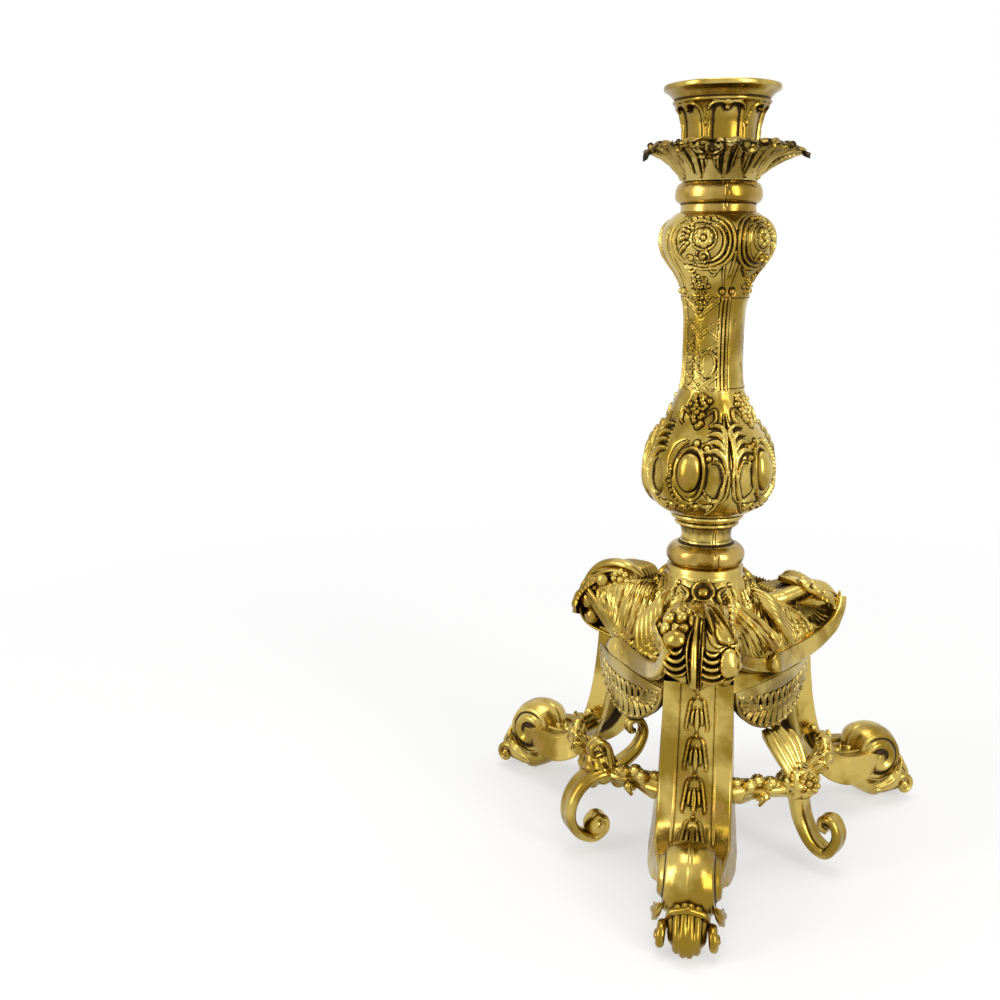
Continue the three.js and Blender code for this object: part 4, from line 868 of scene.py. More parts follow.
def stem_shaft():
    """Waisted shaft: chased and polished faces take turns, with three cords at their corners."""
    outside = profile([(13.2, SHAFT_FOOT), (12.4, 192.5), (12.0, 199), (11.9, 208), (12.0, 217),
                       (12.6, 222.6), (13.8, KNOP_FOOT)], step=0.3)
    shaft = Turned(outside, 260, [(BORE, KNOP_FOOT), (BORE, SHAFT_FOOT)])
    for k, (middle, mirror) in enumerate(stem_faces()):
        draw = shaft_face if k % 2 == 0 else shaft_plain_face
        draw(shaft.relief, shaft.at(middle, 204, mirror))
        if k % 2 == 0:
            sprig(shaft.relief, shaft.at(middle, 226))
            for side in (-1, 1):
                corner = shaft.at(middle + side * 45, 208, side)
                corner_ribs(shaft.relief, corner, -21, 17, 1.6)
    shaft.relief.roughen(0.05, 6, rng)
    return [shaft.sheet(-0.2)]


def stem_bulb():
    """Onion-shaped bulb on a moulded foot, with cabochons and a bunch of grapes on each face."""
    outside = profile([(12.2, STEM_FOOT), (11.0, 127), (10.6, 129), (10.8, 131.4), (12.0, 133.6)],
                      [(12.0, 133.6), (13.3, 134.0), (13.6, 135.0), (12.7, 135.6)],
                      [(12.7, 135.6), (14.6, 136.6), (15.4, 137.6), (14.9, 138.6)],
                      [(14.9, 138.6), (18.4, 140.2), (21.6, 142.6), (24.6, 146.7), (26.3, 151),
                       (26.7, 156), (26.0, 162.4), (24.4, 167), (22.4, 171.2), (19.2, 175.6),
                       (17.0, 179.6), (15.6, 183.6), (14.1, 187), (13.2, SHAFT_FOOT)], step=0.4)
    bulb = Turned(outside, 500, [(BORE, SHAFT_FOOT), (BORE, STEM_FOOT)])
    relief = bulb.relief
    for corner in stem_corners():
        for x in (-0.8, 0.9):
            line = sway((x * 0.7, 24), (x, 14), (x * 1.5, 0), (x, -12))
            relief.stroke(bulb.at(corner, 160), line, 1.1, 0.9, "leaf", 0.4)
    for middle, mirror in stem_faces():
        bulb_face(relief, bulb.at(middle + 0.5 * mirror, 159, mirror))
        grape_cluster(relief, bulb.at(middle + 8 * mirror, 187.2), (3, 4, 4, 3, 3, 2, 2, 1))
        for side in (-1, 1):
            spot = bulb.at(middle + 8 * mirror, 178, side)
            line = sway((2.6, 2), (6.4, 4.6), (7.4, 0.4), (5, -2))
            relief.stroke(spot, line, 1.4, 1.1, "leaf", 0.3)
    seam = bulb.at(STEM_CORNER - 2, 130)
    relief.stroke(seam, [(0, -5), (0.3, 0), (0, 6.4)], 0.7, 0.0, "even", 0.5)
    relief.roughen(0.05, 6, rng)
    return [bulb.sheet(-0.5)]


# ---------------------------------------------------------------- strands and pads


def strand_grid(path, width, thickness, rows, columns, side=(0, 1, 0), flutes=None, looped=False):
    """Tube along a path: an ellipse whose width (along side) and thickness follow the path.

    flutes(share, angle) adds millimetres along the section's own direction.
    """
    line, _ = spaced(np.asarray(path, float), rows + (1 if looped else 0))
    if looped:
        line = line[:-1]
        tangent = np.roll(line, -1, 0) - np.roll(line, 1, 0)
    else:
        tangent = np.gradient(line, axis=0)
    tangent /= np.linalg.norm(tangent, axis=1, keepdims=True) + 1e-9
    across = np.array(side, float) - (tangent @ np.array(side, float))[:, None] * tangent
    across /= np.linalg.norm(across, axis=1, keepdims=True) + 1e-9
    up = np.cross(across, tangent)
    share = np.linspace(0, 1, len(line))[:, None]
    angle = np.linspace(0, TURN, columns, endpoint=False)[None]
    grow = 0 if flutes is None else flutes(share, angle)
    a = (keyed(width, share) / 2 + grow) * np.cos(angle)
    b = (keyed(thickness, share) / 2 + grow) * np.sin(angle)
    return line[:, None] + a[..., None] * across[:, None] + b[..., None] * up[:, None]


def strand(*shape, **options):
    """The sheet of a strand_grid."""
    return Sheet(strand_grid(*shape, **options))


def ribbed(depth, count):
    """Flutes round a strand: depth times the cosine of count times the angle."""
    return lambda share, angle: depth * np.cos(angle * count)


def keyed(value, share):
    """A number, or a list of (share, value) keys joined by straight lines."""
    if isinstance(value, (int, float)):
        return value + 0 * share
    keys = np.array(value, float)
    return np.interp(share, keys[:, 0], keys[:, 1])


def pad(outline, half_width, rows, fullness):
    """Form across a radial plane: the (radius, height) outline shrinks towards both sides by
    (1 - |s|^f)^(1/f)."""
    outline = np.asarray(outline, float)
    centre = outline.mean(0)
    share = np.sin(np.linspace(-1, 1, rows) * math.pi / 2) * 0.995
    scale = (1 - np.abs(share) ** fullness) ** (1 / fullness)
    flat = centre + (outline - centre) * scale[:, None, None]
    across = np.broadcast_to(share[:, None] * half_width, flat.shape[:2])
    return np.stack((flat[..., 0], across, flat[..., 1]), -1)


def closed_outline(points, count):
    """Smooth closed outline through a few points, evenly spaced."""
    points = np.array(points, float)
    loop = smooth(np.vstack((points[-2:], points, points[:3])), 8)[16:-16]
    return spaced(loop, count + 1)[0][:-1]


def ball(centre, size, rows, columns, squash=(1, 1, 1)):
    """Sphere, or an egg where squash shrinks its three widths."""
    polar_angle = np.linspace(0.03, math.pi - 0.03, rows)[:, None]
    around = np.linspace(0, TURN, columns, endpoint=False)[None]
    x = np.sin(polar_angle) * np.cos(around) * squash[0]
    y = np.sin(polar_angle) * np.sin(around) * squash[1]
    z = np.cos(polar_angle) * squash[2] + 0 * around
    return np.stack((x, y, z), -1) * size / 2 + np.array(centre, float)


def bead(*shape):
    """The sheet of a ball."""
    return Sheet(ball(*shape))


def flat_path(points, across=0.0):
    """(radius, height) points as a smooth path in the radial plane."""
    line = smooth(points, 10)
    return np.stack((line[:, 0], np.full(len(line), across), line[:, 1]), 1)


# ---------------------------------------------------------------- legs

LEG_RADIUS, LEG_FACE = 47.2, 27.0
BEND = np.array([74, 25.5])


def leg_line():
    """Outer face in the radial plane: a cubic from the seat to the bend, then on into the foot."""
    t = np.linspace(0, 1, 60)[:, None]
    top = np.array([LEG_RADIUS, LEG_SEAT + 5.5])
    first = np.array([LEG_RADIUS + 0.2, LEG_SEAT / 2 + 2])
    second = np.array([BEND[0] - 20, BEND[1]])
    bend = (1 - t) ** 3 * top + 3 * (1 - t) ** 2 * t * first + 3 * (1 - t) * t**2 * second
    bend = bend + t**3 * BEND
    foot = smooth([BEND, (81, 25.2), (88, 22.5), (95, 17)], 10)
    line = np.vstack((bend, foot[1:]))
    return np.stack((line[:, 0], 0 * line[:, 0], line[:, 1]), 1)


def husk(relief, place):
    """Bellflower: a pointed bell with two outer petals that turn out, and a tongue between them."""
    for half in both_sides(place):
        outer = sway((0, 6.6), (2.6, 5.4), (3.6, 0.6), (4.4, -5.6), (3.2, -6.4))
        relief.stroke(half, outer, 1.2, 0.9, "leaf", 0.3)
        relief.stroke(half, sway((0.8, 3.8), (1.9, 0.4), (2.2, -4.6)), 1.5, 0.8, "drop", 0.25)
    relief.stroke(place, sway((0, 4.6), (0, 0), (0, -7.4)), 1.9, 0.95, "drop", 0.3, 0.3)
    relief.dome(place, 0, 7.6, 1.5, 1.5, 0.8, 0.2)


def leg_strap(narrower):
    """Channel strap with a sunk panel of hanging husks. The rear legs are narrower at the top."""
    rows = 230
    line, run = spaced(leg_line(), rows)
    tangent = np.gradient(line, axis=0)
    tangent /= np.linalg.norm(tangent, axis=1, keepdims=True)
    inward = np.cross(np.array([0.0, 1, 0]), tangent)
    share = run / run[-1]
    half = (LEG_FACE + keyed([(0, -0.6 - narrower), (0.4, 1 - 0.3 * narrower), (0.68, 1.8),
                              (0.85, -3), (1, -9)], share)) / 2
    base = half + 2.6 * keyed([(0, 0), (0.4, 0.3), (0.62, 1), (0.82, 0.4), (1, -1)], share)
    depth = keyed([(0, 7), (0.4, 10), (0.7, 12), (0.86, 9.4), (1, 7)], share)
    wall, web, soft = 3.0, 4.0, 0.7
    zero = 0 * half
    corners = [(-half + soft, zero), (half - soft, zero), (half, zero + soft), (base, depth - 0.5),
               (base - 0.5, depth), (base - wall, depth), (half - wall, zero + web),
               (wall - half, zero + web), (wall - base, depth), (0.5 - base, depth),
               (-base, depth - 0.5), (-half, zero + soft)]
    counts = [84, 3, 20, 2, 4, 8, 8, 8, 4, 2, 20, 3]
    across, sink = [], []
    for k, count in enumerate(counts):
        here, there = corners[k], corners[(k + 1) % len(corners)]
        share_k = np.arange(count) / count
        across.append(here[0][:, None] + (there[0] - here[0])[:, None] * share_k)
        sink.append(here[1][:, None] + (there[1] - here[1])[:, None] * share_k)
    across, sink = np.concatenate(across, 1), np.concatenate(sink, 1)
    face = Relief(run, np.linspace(-LEG_FACE / 2, LEG_FACE / 2, counts[0]))
    panel = 0.7 / (1 + np.exp((np.abs(face.across) - 7.3) / 0.14))
    face.height -= panel * keyed([(0, 1), (0.76, 1), (0.84, 0)], share)[:, None]
    for half_face in both_sides(MIDDLE):
        face.stroke(half_face, [(7.6, 1), (7.6, 60), (7.4, 86)], 0.8, 0.45, "even", 0.25)
    for k in range(5):
        level = 13 + 15.6 * k
        husk(face, (0, level, 180, 0.98, 1))
        face.stroke((0, level, 0, 1, 1), [(0, 6.8), (0, 9.4)], 0.8, -0.2, "even", 0.1)
    face.roughen(0.06, 7, rng)
    sink[:, :counts[0]] -= face.height
    sideways = across[..., None] * np.array([0, 1, 0])
    return Sheet(line[:, None] + sideways + sink[..., None] * inward[:, None], depth=1.7)


def leg_foot():
    """Scroll knob over a grooved toe, with leaf curls beside it."""
    sheets = []
    rows, columns = 66, 96
    around = closed_outline([(74.4, 24.5), (78.2, 32), (86, 34.4), (94, 32), (98.8, 25.6),
                             (99.6, 18.4), (96, 11), (88, 7.4), (78, 11.4), (74, 18)], columns)
    knob = pad(around, 11.2, rows, 2.6)
    centre = around.mean(0)
    level = np.hypot(knob[..., 0] - centre[0], knob[..., 2] - centre[1])
    way = np.arctan2(knob[..., 2] - centre[1], knob[..., 0] - centre[0])
    spiral = np.cos(TURN * (level / 5.6 - way / TURN))
    on_side = np.clip((11.6 - level) / 2.5, 0, 1) * np.clip(level / 2.0, 0, 1)
    height = 0.75 * spiral * on_side - 0.5 * np.exp(-((knob[..., 1] / 0.45) ** 2))
    height += 0.35 * np.exp(-(((np.abs(knob[..., 1]) - 8.2) / 0.6) ** 2)) * np.clip(level - 8, 0, 1)
    sheets.append(Sheet(raised(knob, height)))
    toe_line = closed_outline([(90, 18), (97, 20.4), (103, 17), (107.6, 11.4), (108.4, 6.4),
                               (105.6, 1.6), (98, 0.35), (91, 0.35), (84, 5)], 84)
    toe = pad(toe_line, 7.4, 60, 2.3)
    off = np.abs(toe[..., 1])
    folds = -0.9 * np.exp(-(((off - 2.9) / 0.55) ** 2)) - 0.7 * np.exp(-((off / 0.4) ** 2))
    folds += -0.7 * np.exp(-(((off - 5.8) / 0.55) ** 2))
    reach = np.clip((toe[..., 0] - 96) / 4, 0, 1) * np.clip((109.4 - toe[..., 0]) / 4, 0, 1)
    sheets.append(Sheet(level_off(raised(toe, folds * reach))))
    brow = [(98, -7.6, 11), (101.2, -6, 16.2), (102.2, 0, 18), (101.2, 6, 16.2), (98, 7.6, 11)]
    sheets.append(strand(brow, [(0, 1.4), (0.5, 3.2), (1, 1.4)], [(0, 1.4), (0.5, 2.6), (1, 1.4)],
                         40, 14, (0, 0, 1)))
    for side in (-1, 1):
        curl_line = curl(0, 0, 4.6, 150, -1.15, 40, 0.25)
        path = np.stack((curl_line[:, 0] + 100.5, np.linspace(8.6, 10.4, 40) * side,
                         curl_line[:, 1] + 6.4), 1)
        width = [(0, 3.6), (0.7, 3.0), (1, 2.4)]
        sheets.append(Sheet(level_off(strand_grid(path, width, [(0, 3.2), (1, 2.2)], 60, 14))))
        leaf = [(84, side * 11.6, 8), (90, side * 12.2, 9.6), (95.4, side * 11.4, 12.8),
                (97.6, side * 9.4, 17)]
        sheets.append(strand(smooth(leaf, 8), [(0, 2), (0.5, 6.4), (1, 1.2)],
                             [(0, 1.6), (0.5, 2.8), (1, 1)], 46, 30, (0, 0, 1), ribbed(0.32, 5)))
        sheets.append(bead((100.5, side * 10.2, 6.4), 3.2, 10, 14))
    heel = closed_outline([(74, 20), (84, 21), (92, 14), (93, 3), (89, 0.35), (82, 3.4), (74, 8.6),
                           (70, 12)], 60)
    sheets.append(Sheet(level_off(pad(heel, 8.4, 30, 3))))
    return sheets


def level_off(points):
    """Nothing reaches below the table."""
    points[..., 2] = np.maximum(points[..., 2], 0.02)
    return points


# ---------------------------------------------------------------- corner leaves


LEAF_LINE = [(38.2, 109.4), (45.2, 108.8), (52.4, 106.3), (58.9, 99.8), (61.5, 90.8), (59.9, 82.2)]
LEAF_LEFT = [(0, 1), (2, 4), (5, 10), (9, 16), (13, 18.4), (17, 17.6), (20, 15.6), (25, 14.4),
             (32, 13.6), (35, 12.4), (37, 8), (38.6, 3.4), (41.3, 0.3)]
LEAF_RIGHT = [(0, 1), (3, 4), (8, 8), (12, 11.4), (17, 14.0), (21, 14.6), (24, 14.2), (28, 15.8),
              (32, 15.4), (35, 14), (37, 9), (38.4, 4), (41.3, 0.3)]


def leaf_relief(relief):
    """Long petals from the root, lobes on the left, nested folds below and a ribbed tongue."""
    at = MIDDLE
    relief.dome(at, 6.6, 14.5, 9, 19, 0.9, 0.5)
    for points, *form in (
        ([(0.8, 2), (4.2, 11), (9.6, 19.4), (11.0, 22.6)], 7.0, 2.6, "drop", 1.0, 0.0),
        ([(1.0, 1.5), (6.4, 10.4), (11.4, 17.6), (13.4, 21.6)], 1.1, 3.6, "leaf", 0.3),
        ([(2.0, 6), (5.6, 14), (9.0, 20.6)], 0.9, 3.3, "leaf", 0.4),
        ([(1.0, 5), (2.6, 12), (5.0, 19.4)], 2.4, 2.6, "drop", 0.8),
        ([(9.6, 10.6), (12.0, 13.4), (12.8, 18.4)], 3.0, 2.4, "drop", 0.8),
    ):
        relief.stroke(at, sway(*points), *form)
    for size, width, lift in ((3.4, 1.8, 2.6), (5.6, 2.0, 2.8), (8.0, 1.9, 2.6), (10.4, 1.5, 2.2),
                              (12.6, 1.4, 1.8)):
        relief.stroke(at, arc(4.8, 23.6, size * 0.86, size, 28, 152, 30), width, lift, "leaf", 0.9)
    relief.dome(at, 11.6, 29.5, 8.4, 12, 2.6, 1.0, True)
    relief.stroke(at, sway((12.6, 22.6), (15.0, 27.4), (14.2, 34.6)), 1.4, 3.2, "leaf", 0.4)
    relief.stroke(at, sway((8.4, 35.6), (12.0, 35.4), (14.8, 33.6)), 1.6, 2.4, "leaf", 0.5)
    for x, y, w, h, lift in ((-8.4, 7.6, 5.6, 6.6, 2.6), (-12.0, 11.6, 5.0, 6.0, 2.6),
                             (-7.0, 12.6, 4.6, 4.6, 2.9), (-13.2, 16.6, 4.0, 5.6, 2.4),
                             (-4.6, 9.0, 2.8, 4.8, 2.2), (-6.0, 17.6, 4.4, 4.0, 2.6),
                             (-9.6, 21.6, 9.6, 7.2, 3.0), (-3.4, 14.0, 2.4, 5.6, 2.0)):
        relief.dome(at, x, y, w, h, lift, 1.1)
    outer = sway((-5.6, 4.4), (-12.4, 6.4), (-17.2, 11.6), (-16.6, 17), (-14, 23), (-13, 30))
    relief.stroke(at, outer, 1.7, 2.6, "leaf", 0.8)
    relief.stroke(at, sway((-1.0, 2.0), (-4.4, 6.0), (-8.6, 10.0)), 1.3, 0.0, "leaf", 1.2)
    for size, width, lift in ((4.0, 2.2, 3.0), (6.6, 2.4, 3.0), (9.2, 2.2, 2.7), (11.4, 1.6, 2.2)):
        relief.stroke(at, arc(-8.8, 23.0, size * 0.74, size, 24, 160, 30), width, lift, "leaf", 1.0)
    for points, *form in (
        ([(-1.2, 12), (-1.9, 26), (-1.4, 41)], 4.2, 2.6, "swell", 0.7),
        ([(-2.6, 17), (-4.6, 26), (-3.0, 38)], 1.3, 3.0, "leaf", 0.5),
        ([(0.4, 12), (0.2, 26), (0.1, 41)], 0.7, 0.0, "even", 1.3),
        ([(1.3, 12), (1.2, 26), (0.9, 40)], 1.1, 2.7, "leaf", 0.4),
    ):
        relief.stroke(at, sway(*points), *form)
    relief.roughen(0.14, 5, rng)


def corner_leaf(bold):
    """Acanthus leaf over a corner: each edge keeps its own distance from the middle line."""
    rows, columns = 170, 150
    line = smooth(LEAF_LINE, 12)
    line, run = spaced(np.stack((line[:, 0], 0 * line[:, 0], line[:, 1]), 1), rows)
    tangent = np.gradient(line, axis=0)
    tangent /= np.linalg.norm(tangent, axis=1, keepdims=True)
    outward = np.cross(tangent, np.array([0.0, 1, 0]))
    lateral = np.linspace(-1, 1, columns)
    ripple = 0.5 * np.sin(run * 1.3) * keyed([(0, 0), (0.15, 1), (0.8, 1), (0.9, 0)], run / run[-1])
    left, right = keyed(LEAF_LEFT, run) + ripple, keyed(LEAF_RIGHT, run) + ripple
    s = np.where(lateral < 0, lateral * left[:, None], lateral * right[:, None])
    relief = Relief(run, np.linspace(-19, 17, 300))
    leaf_relief(relief)
    rows_of = zip(s, relief.height)
    heights = bold * np.array([np.interp(row, relief.across, lift) for row, lift in rows_of])
    crown = 0.012 * s * s
    edge = np.sqrt(np.clip(1 - np.abs(lateral) ** 8, 0, 1))[None]
    ends = np.minimum(1, 10 * np.minimum(run, run[-1] - run) / run[-1])[:, None]
    lift = 1.3 * edge - crown + heights * edge * ends
    s = np.concatenate((s, s[:, ::-6]), 1)[..., None]
    lift = np.concatenate((lift, -1.0 - crown[:, ::-6]), 1)[..., None]
    return Sheet(line[:, None] + s * np.array([0, 1, 0]) + lift * outward[:, None], depth=0.8)


# ---------------------------------------------------------------- base body

NECK_RADIUS, SIDE_RADIUS, CORNER_RADIUS = 16.0, 36.6, 44.0


def body_dome():
    """Three-cornered bell: radius eases from the neck to the lower edge, faster at the corners."""
    columns, rows = 420, 150
    azimuth = np.linspace(0, 360, columns, endpoint=False)
    away = np.abs((azimuth - FRONT + 60) % 120 - 60)
    corner = np.cos(np.radians(away * 1.5)) ** 2
    neck = BODY_TOP - 4
    share = np.linspace(0, 1, rows)[:, None]
    level = LEG_SEAT + (neck - LEG_SEAT) * share
    fall = 1 - share
    radius = NECK_RADIUS + (SIDE_RADIUS - NECK_RADIUS) * fall**1.5 * (1 - corner)
    radius = radius + (CORNER_RADIUS - NECK_RADIUS) * fall**0.9 * corner
    steps = np.hypot(np.gradient(radius.mean(1)), np.gradient(level[:, 0]))
    run = np.cumsum(steps) - steps[0]
    relief = Relief(run, np.radians(azimuth), radius.mean(1))
    top = run[-1]
    for k in range(3):
        middle = FRONT + 60 + CORNER_PITCH * k
        for j in range(44):
            lean = (j - 21.5) / 21.5
            start = (lean * 14 + rng.uniform(-1.5, 1.5), -5 - 9 * rng.random())
            end = (start[0] + lean * 16 + rng.uniform(-5, 5), start[1] - 12 - 14 * rng.random())
            mid = ((start[0] + end[0]) / 2 + rng.uniform(-2, 2), (start[1] + end[1]) / 2)
            relief.stroke(spot_at(middle, top), sway(start, mid, end), 1.3, 0.7, "leaf", 0.4)
        for side in (-1, 1):
            bud = spot_at(middle + side * 31, top - 6, side)
            relief.stroke(bud, sway((-3, 3), (-5, -2), (-1.4, -7)), 1.8, 1.3, "leaf", 0.4)
            relief.stroke(bud, sway((-1, 3.4), (3.6, 1), (2.6, -5)), 1.7, 1.3, "leaf", 0.4)
            relief.flower(bud, 0.4, -1.6, 4.2, 5, 1.1)
            relief.dome(bud, 3.4, -5.2, 2.2, 2.6, 1.2, 0.3)
            relief.dome(bud, -2.6, 4.2, 2.0, 2.0, 1.0, 0.3)
        corner_place = spot_at(middle + 60, top - 4.2)
        relief.dome(corner_place, 0, 0, 9.4, 9.4, 0.9, 0.4, True)
        relief.ring(corner_place, 0, 0, 7.6, 7.6, 1.5, 1.9)
        relief.dome(corner_place, 0, 0, 4.2, 4.2, 1.9, 0.8)
        for half in both_sides(corner_place):
            relief.stroke(half, sway((3.2, -3.4), (5.4, -7), (9.4, -9)), 1.8, 1.2, "tail", 0.4)
    relief.roughen(0.1, 6, rng)
    normal_out = polar(np.radians(azimuth), 1, 0.75)
    normal_out /= np.linalg.norm(normal_out, axis=-1, keepdims=True)
    outside = polar(np.radians(azimuth), radius, level) + normal_out * relief.height[..., None]
    neck_rows = [(15.7, neck + 0.3), (15.4, neck + 1.2), (15.6, BODY_TOP - 0.6), (15.1, BODY_TOP),
                 (9, BODY_TOP), (BORE, BODY_TOP), (BORE, BODY_TOP - 8), (14, BODY_TOP - 8)]
    plain = np.array([polar(np.radians(azimuth), r, z) for r, z in neck_rows])
    inner = polar(np.radians(azimuth), radius - 3.6, level)[::-8][1:]
    inner[..., 2] = np.minimum(inner[..., 2], BODY_TOP - 9)
    return Sheet(np.concatenate((outside, plain, inner)), looped=True)


CORNER_OUTLINES = {
    "front": [(29, 105.5), (40, 109.2), (50, 106.6), (56.2, 100), (57.4, 93), (54.6, 87.4),
              (46, 85), (33, 85)],
    "right": [(29, 101), (38, 103), (48, 104.2), (56, 102.4), (61, 96.5), (61.4, 89.5), (58, 82.4),
              (47.2, 78), (33, 80)],
    "left": [(29, 105.5), (40, 109.2), (50, 106.6), (56.2, 100), (58, 91.5), (55.8, 83), (46.5, 79),
             (33, 80)],
}
LIPS = [
    ([(25, 107.6), (32, 110.8), (39.6, 111.4), (47, 109), (52.4, 103.8), (55.4, 97), (56.4, 90)],
     -2.0, 5.4),
    ([(31, 107.4), (38.6, 108.6), (46, 106.2), (51, 101.6), (53.8, 95.6)], 0.6, 2.6),
]
EAR_HALF_WIDTH = 9.5


def corner_scroll(corner):
    """Rolled corner: the outline is its rim, both sides are dished, the left one has a lip."""
    outline = closed_outline(CORNER_OUTLINES[corner], 150)
    eye = np.array([49.0, 93.5])
    half, deep = EAR_HALF_WIDTH, 6.6
    dish = np.linspace(0.05, 1, 44)
    rim = np.exp(-(((dish - 0.93) / 0.06) ** 2))
    side_level = half - deep * np.clip(1 - (dish / 0.9) ** 4, 0, 1) * (dish < 0.9) + 0.7 * rim
    across = np.linspace(half, -half, 40)[1:-1]
    scale = np.concatenate((dish, 1 + 0.035 * np.cos(across / half * math.pi / 2), dish[::-1]))
    level = np.concatenate((side_level, across, -side_level[::-1]))
    flat = eye + (outline - eye) * scale[:, None, None]
    across = np.broadcast_to(level[:, None], flat.shape[:2])
    points = np.stack((flat[..., 0], across, flat[..., 1]), -1)
    way = np.arctan2(flat[..., 1] - eye[1], flat[..., 0] - eye[0])
    in_dish, on_rim = ((scale < 0.85) & (scale > 0.3))[:, None], (scale > 0.99)[:, None]
    chased = 0.3 * np.cos(way * 46 + 3 * np.sin(way * 5)) * in_dish
    chased = chased + 0.25 * np.cos(points[..., 1] * 2.6 + 2 * way) * on_rim
    sheets = [Sheet(raised(points, chased), depth=0.7)]
    if corner == "right":
        sheets += star_hollow(-half)
        saddle = smooth([(17, -5, 103), (24, -7, 100.4), (31, -7, 100.6), (39, -6.4, 102.4),
                         (47, -5.6, 104), (55, -5, 102.2), (60, -5, 96.6), (61, -5.4, 90)], 10)
        sheets.append(strand(saddle, [(0, 5), (0.3, 8.4), (0.7, 8), (1, 3)],
                             [(0, 4), (0.3, 6), (0.7, 5), (1, 2)], 120, 26, (0, 1, 0)))
    else:
        sheets += berries(half)
    if corner == "left":
        for line, beyond, width in LIPS:
            wide = [(0, 1.4), (0.2, width), (0.8, width), (1, 1.6)]
            thick = [(0, 1.2), (0.2, width * 0.7), (0.8, width * 0.7), (1, 1.2)]
            sheets.append(strand(flat_path(line, half + beyond), wide, thick, 90, 20))
    return sheets + hair(1) + hair(-1) + swirl()


def berries(level):
    """Rosette and a row of fruit along the rim."""
    sheets = rosette((34.4, level + 1.4, 105.4), 9.4, 1)
    for x, z, size in ((45, 103, 7.6), (40.4, 100.8, 4.4), (49.8, 98.4, 4.6), (52.6, 93, 8.6),
                       (50.4, 85.8, 7.6), (46.4, 90.6, 4.4)):
        sheets.append(bead((x, level - 0.2, z), size, 18, 26, (1, 0.85, 1)))
    return sheets


def star_hollow(level):
    """A rolled bud that lies in the hollow, with a star of petals on the rim."""
    bud = smooth([(42, level + 3, 97), (47, level + 0.6, 98.2), (52.4, level - 0.6, 99.4),
                  (56.6, level - 0.4, 99.2)], 8)
    sheets = [strand(bud, [(0, 3), (0.4, 7.4), (0.8, 6.4), (1, 2.4)],
                     [(0, 3), (0.4, 6.8), (0.8, 6), (1, 2.4)], 50, 26, (0, 1, 0))]
    for k in range(6):
        a = math.radians(15 + 60 * k)
        tip = (57.4 + 4.6 * math.cos(a), level - 1.6, 97.4 + 5.0 * math.sin(a))
        mid = ((57.4 + tip[0]) / 2, level - 2.4, (97.4 + tip[2]) / 2)
        petal = smooth([(57.4, level - 1.4, 97.4), mid, tip], 6)
        sheets.append(strand(petal, [(0, 1.4), (0.6, 2.6), (1, 0.6)], [(0, 1.4), (1, 1)], 20, 12,
                             (0, 1, 0)))
    for x, z, size in ((60.8, 91, 3.6), (59.6, 86.6, 3.2), (61, 95, 3)):
        sheets.append(bead((x, level + 1.2, z), size, 12, 16))
    return sheets


LOCKS = 19
HAIR_ROOTS = {
    1: ([(18, 11, 106), (22, 12.4, 105.6), (29, 12, 104.2), (37, 11.4, 101.4), (45, 10.8, 98.6)],
        [(10, 35.4, 84), (18, 31, 85), (24, 24.6, 86), (32, 17.4, 88), (43, 13, 93)]),
    -1: ([(17, -8, 106.4), (21, -10.4, 103.6), (27, -10.6, 100.6), (33, -10.2, 97), (39, -10, 93)],
         [(8, -36, 87.4), (15, -32, 86.8), (24, -26.4, 86.2), (34, -21, 86.4), (44, -17, 88.4)]),
}


def hair(side):
    """Chased locks that fill the corner between the scroll's side, the bell and the band."""
    sheets = []
    roots, tips = (spaced(smooth(line, 8), LOCKS)[0] for line in HAIR_ROOTS[side])

    def combed(share, angle):
        """Six flutes that turn once on the way."""
        return 0.42 * np.cos(angle * 6 + 7 * share)

    for k in range(LOCKS):
        bend = (1.6 * math.sin(k * 1.7), 0.6 + side * 1.1 * math.sin(k * 2.9), 0.6 * side)
        bow = (roots[k] + tips[k]) / 2 + np.array(bend)
        start = roots[k] + np.array([-2.4, -side * 2.6, 0.8])
        line = smooth([start, roots[k], bow, tips[k]], 8)
        wide = 3.6 + 0.8 * math.sin(k * 4.1)
        sheets.append(strand(line, [(0, 2), (0.3, wide), (0.8, wide + 1), (1, 3)],
                             [(0, 1.8), (0.4, 3), (1, 2.2)], 38, 26, (1, 0, 0.3), combed))
    return sheets


def swirl():
    """S-shaped acanthus folds from the neck over the bell to the band."""
    sheets = []
    for k in range(5):
        line = smooth([(14.5 + 0.4 * k, -14 - 1.4 * k, 108 - 1.3 * k),
                       (19.6 + 0.2 * k, -17 - 1.8 * k, 105 - 2.1 * k),
                       (24.6, -17.4 - 1.8 * k, 98.6 - 2.2 * k),
                       (31 - 0.6 * k, -16.6 - 1.7 * k, 92 - 1.5 * k),
                       (40.4 - 1.6 * k, -14.8 - 1.6 * k, 90 - 0.9 * k)], 10)
        sheets.append(strand(line, [(0, 1.4), (0.3, 3.6), (0.7, 3.4), (1, 1)],
                             [(0, 1.6), (0.3, 4.4), (0.8, 3.4), (1, 1)], 50, 14, (0.3, 0.2, 1)))
    return sheets


def rosette(centre, size, side):
    """Beads round a middle one."""
    sheets = [bead(centre, size * 0.4, 10, 14)]
    for k in range(8):
        a = TURN * k / 8
        spot = (centre[0] + size * 0.36 * math.cos(a), centre[1] + side * 0.2,
                centre[2] + size * 0.36 * math.sin(a))
        sheets.append(bead(spot, size * 0.34, 9, 12))
    return sheets


BAND_LINES = {
    -1: [(11, -36.8, 83.2), (17, -31.8, 82.6), (27.2, -25.2, 82), (40, -19.2, 83.2),
         (51.6, -15, 87.6), (57.6, -12.8, 94.2), (59.6, -11.4, 99.8)],
    1: [(15.6, 33.8, 81.2), (21.4, 27.6, 82), (28.6, 20, 84), (37.4, 15.4, 88),
        (46.4, 12.8, 93.4), (52, 11.6, 98.6)],
}


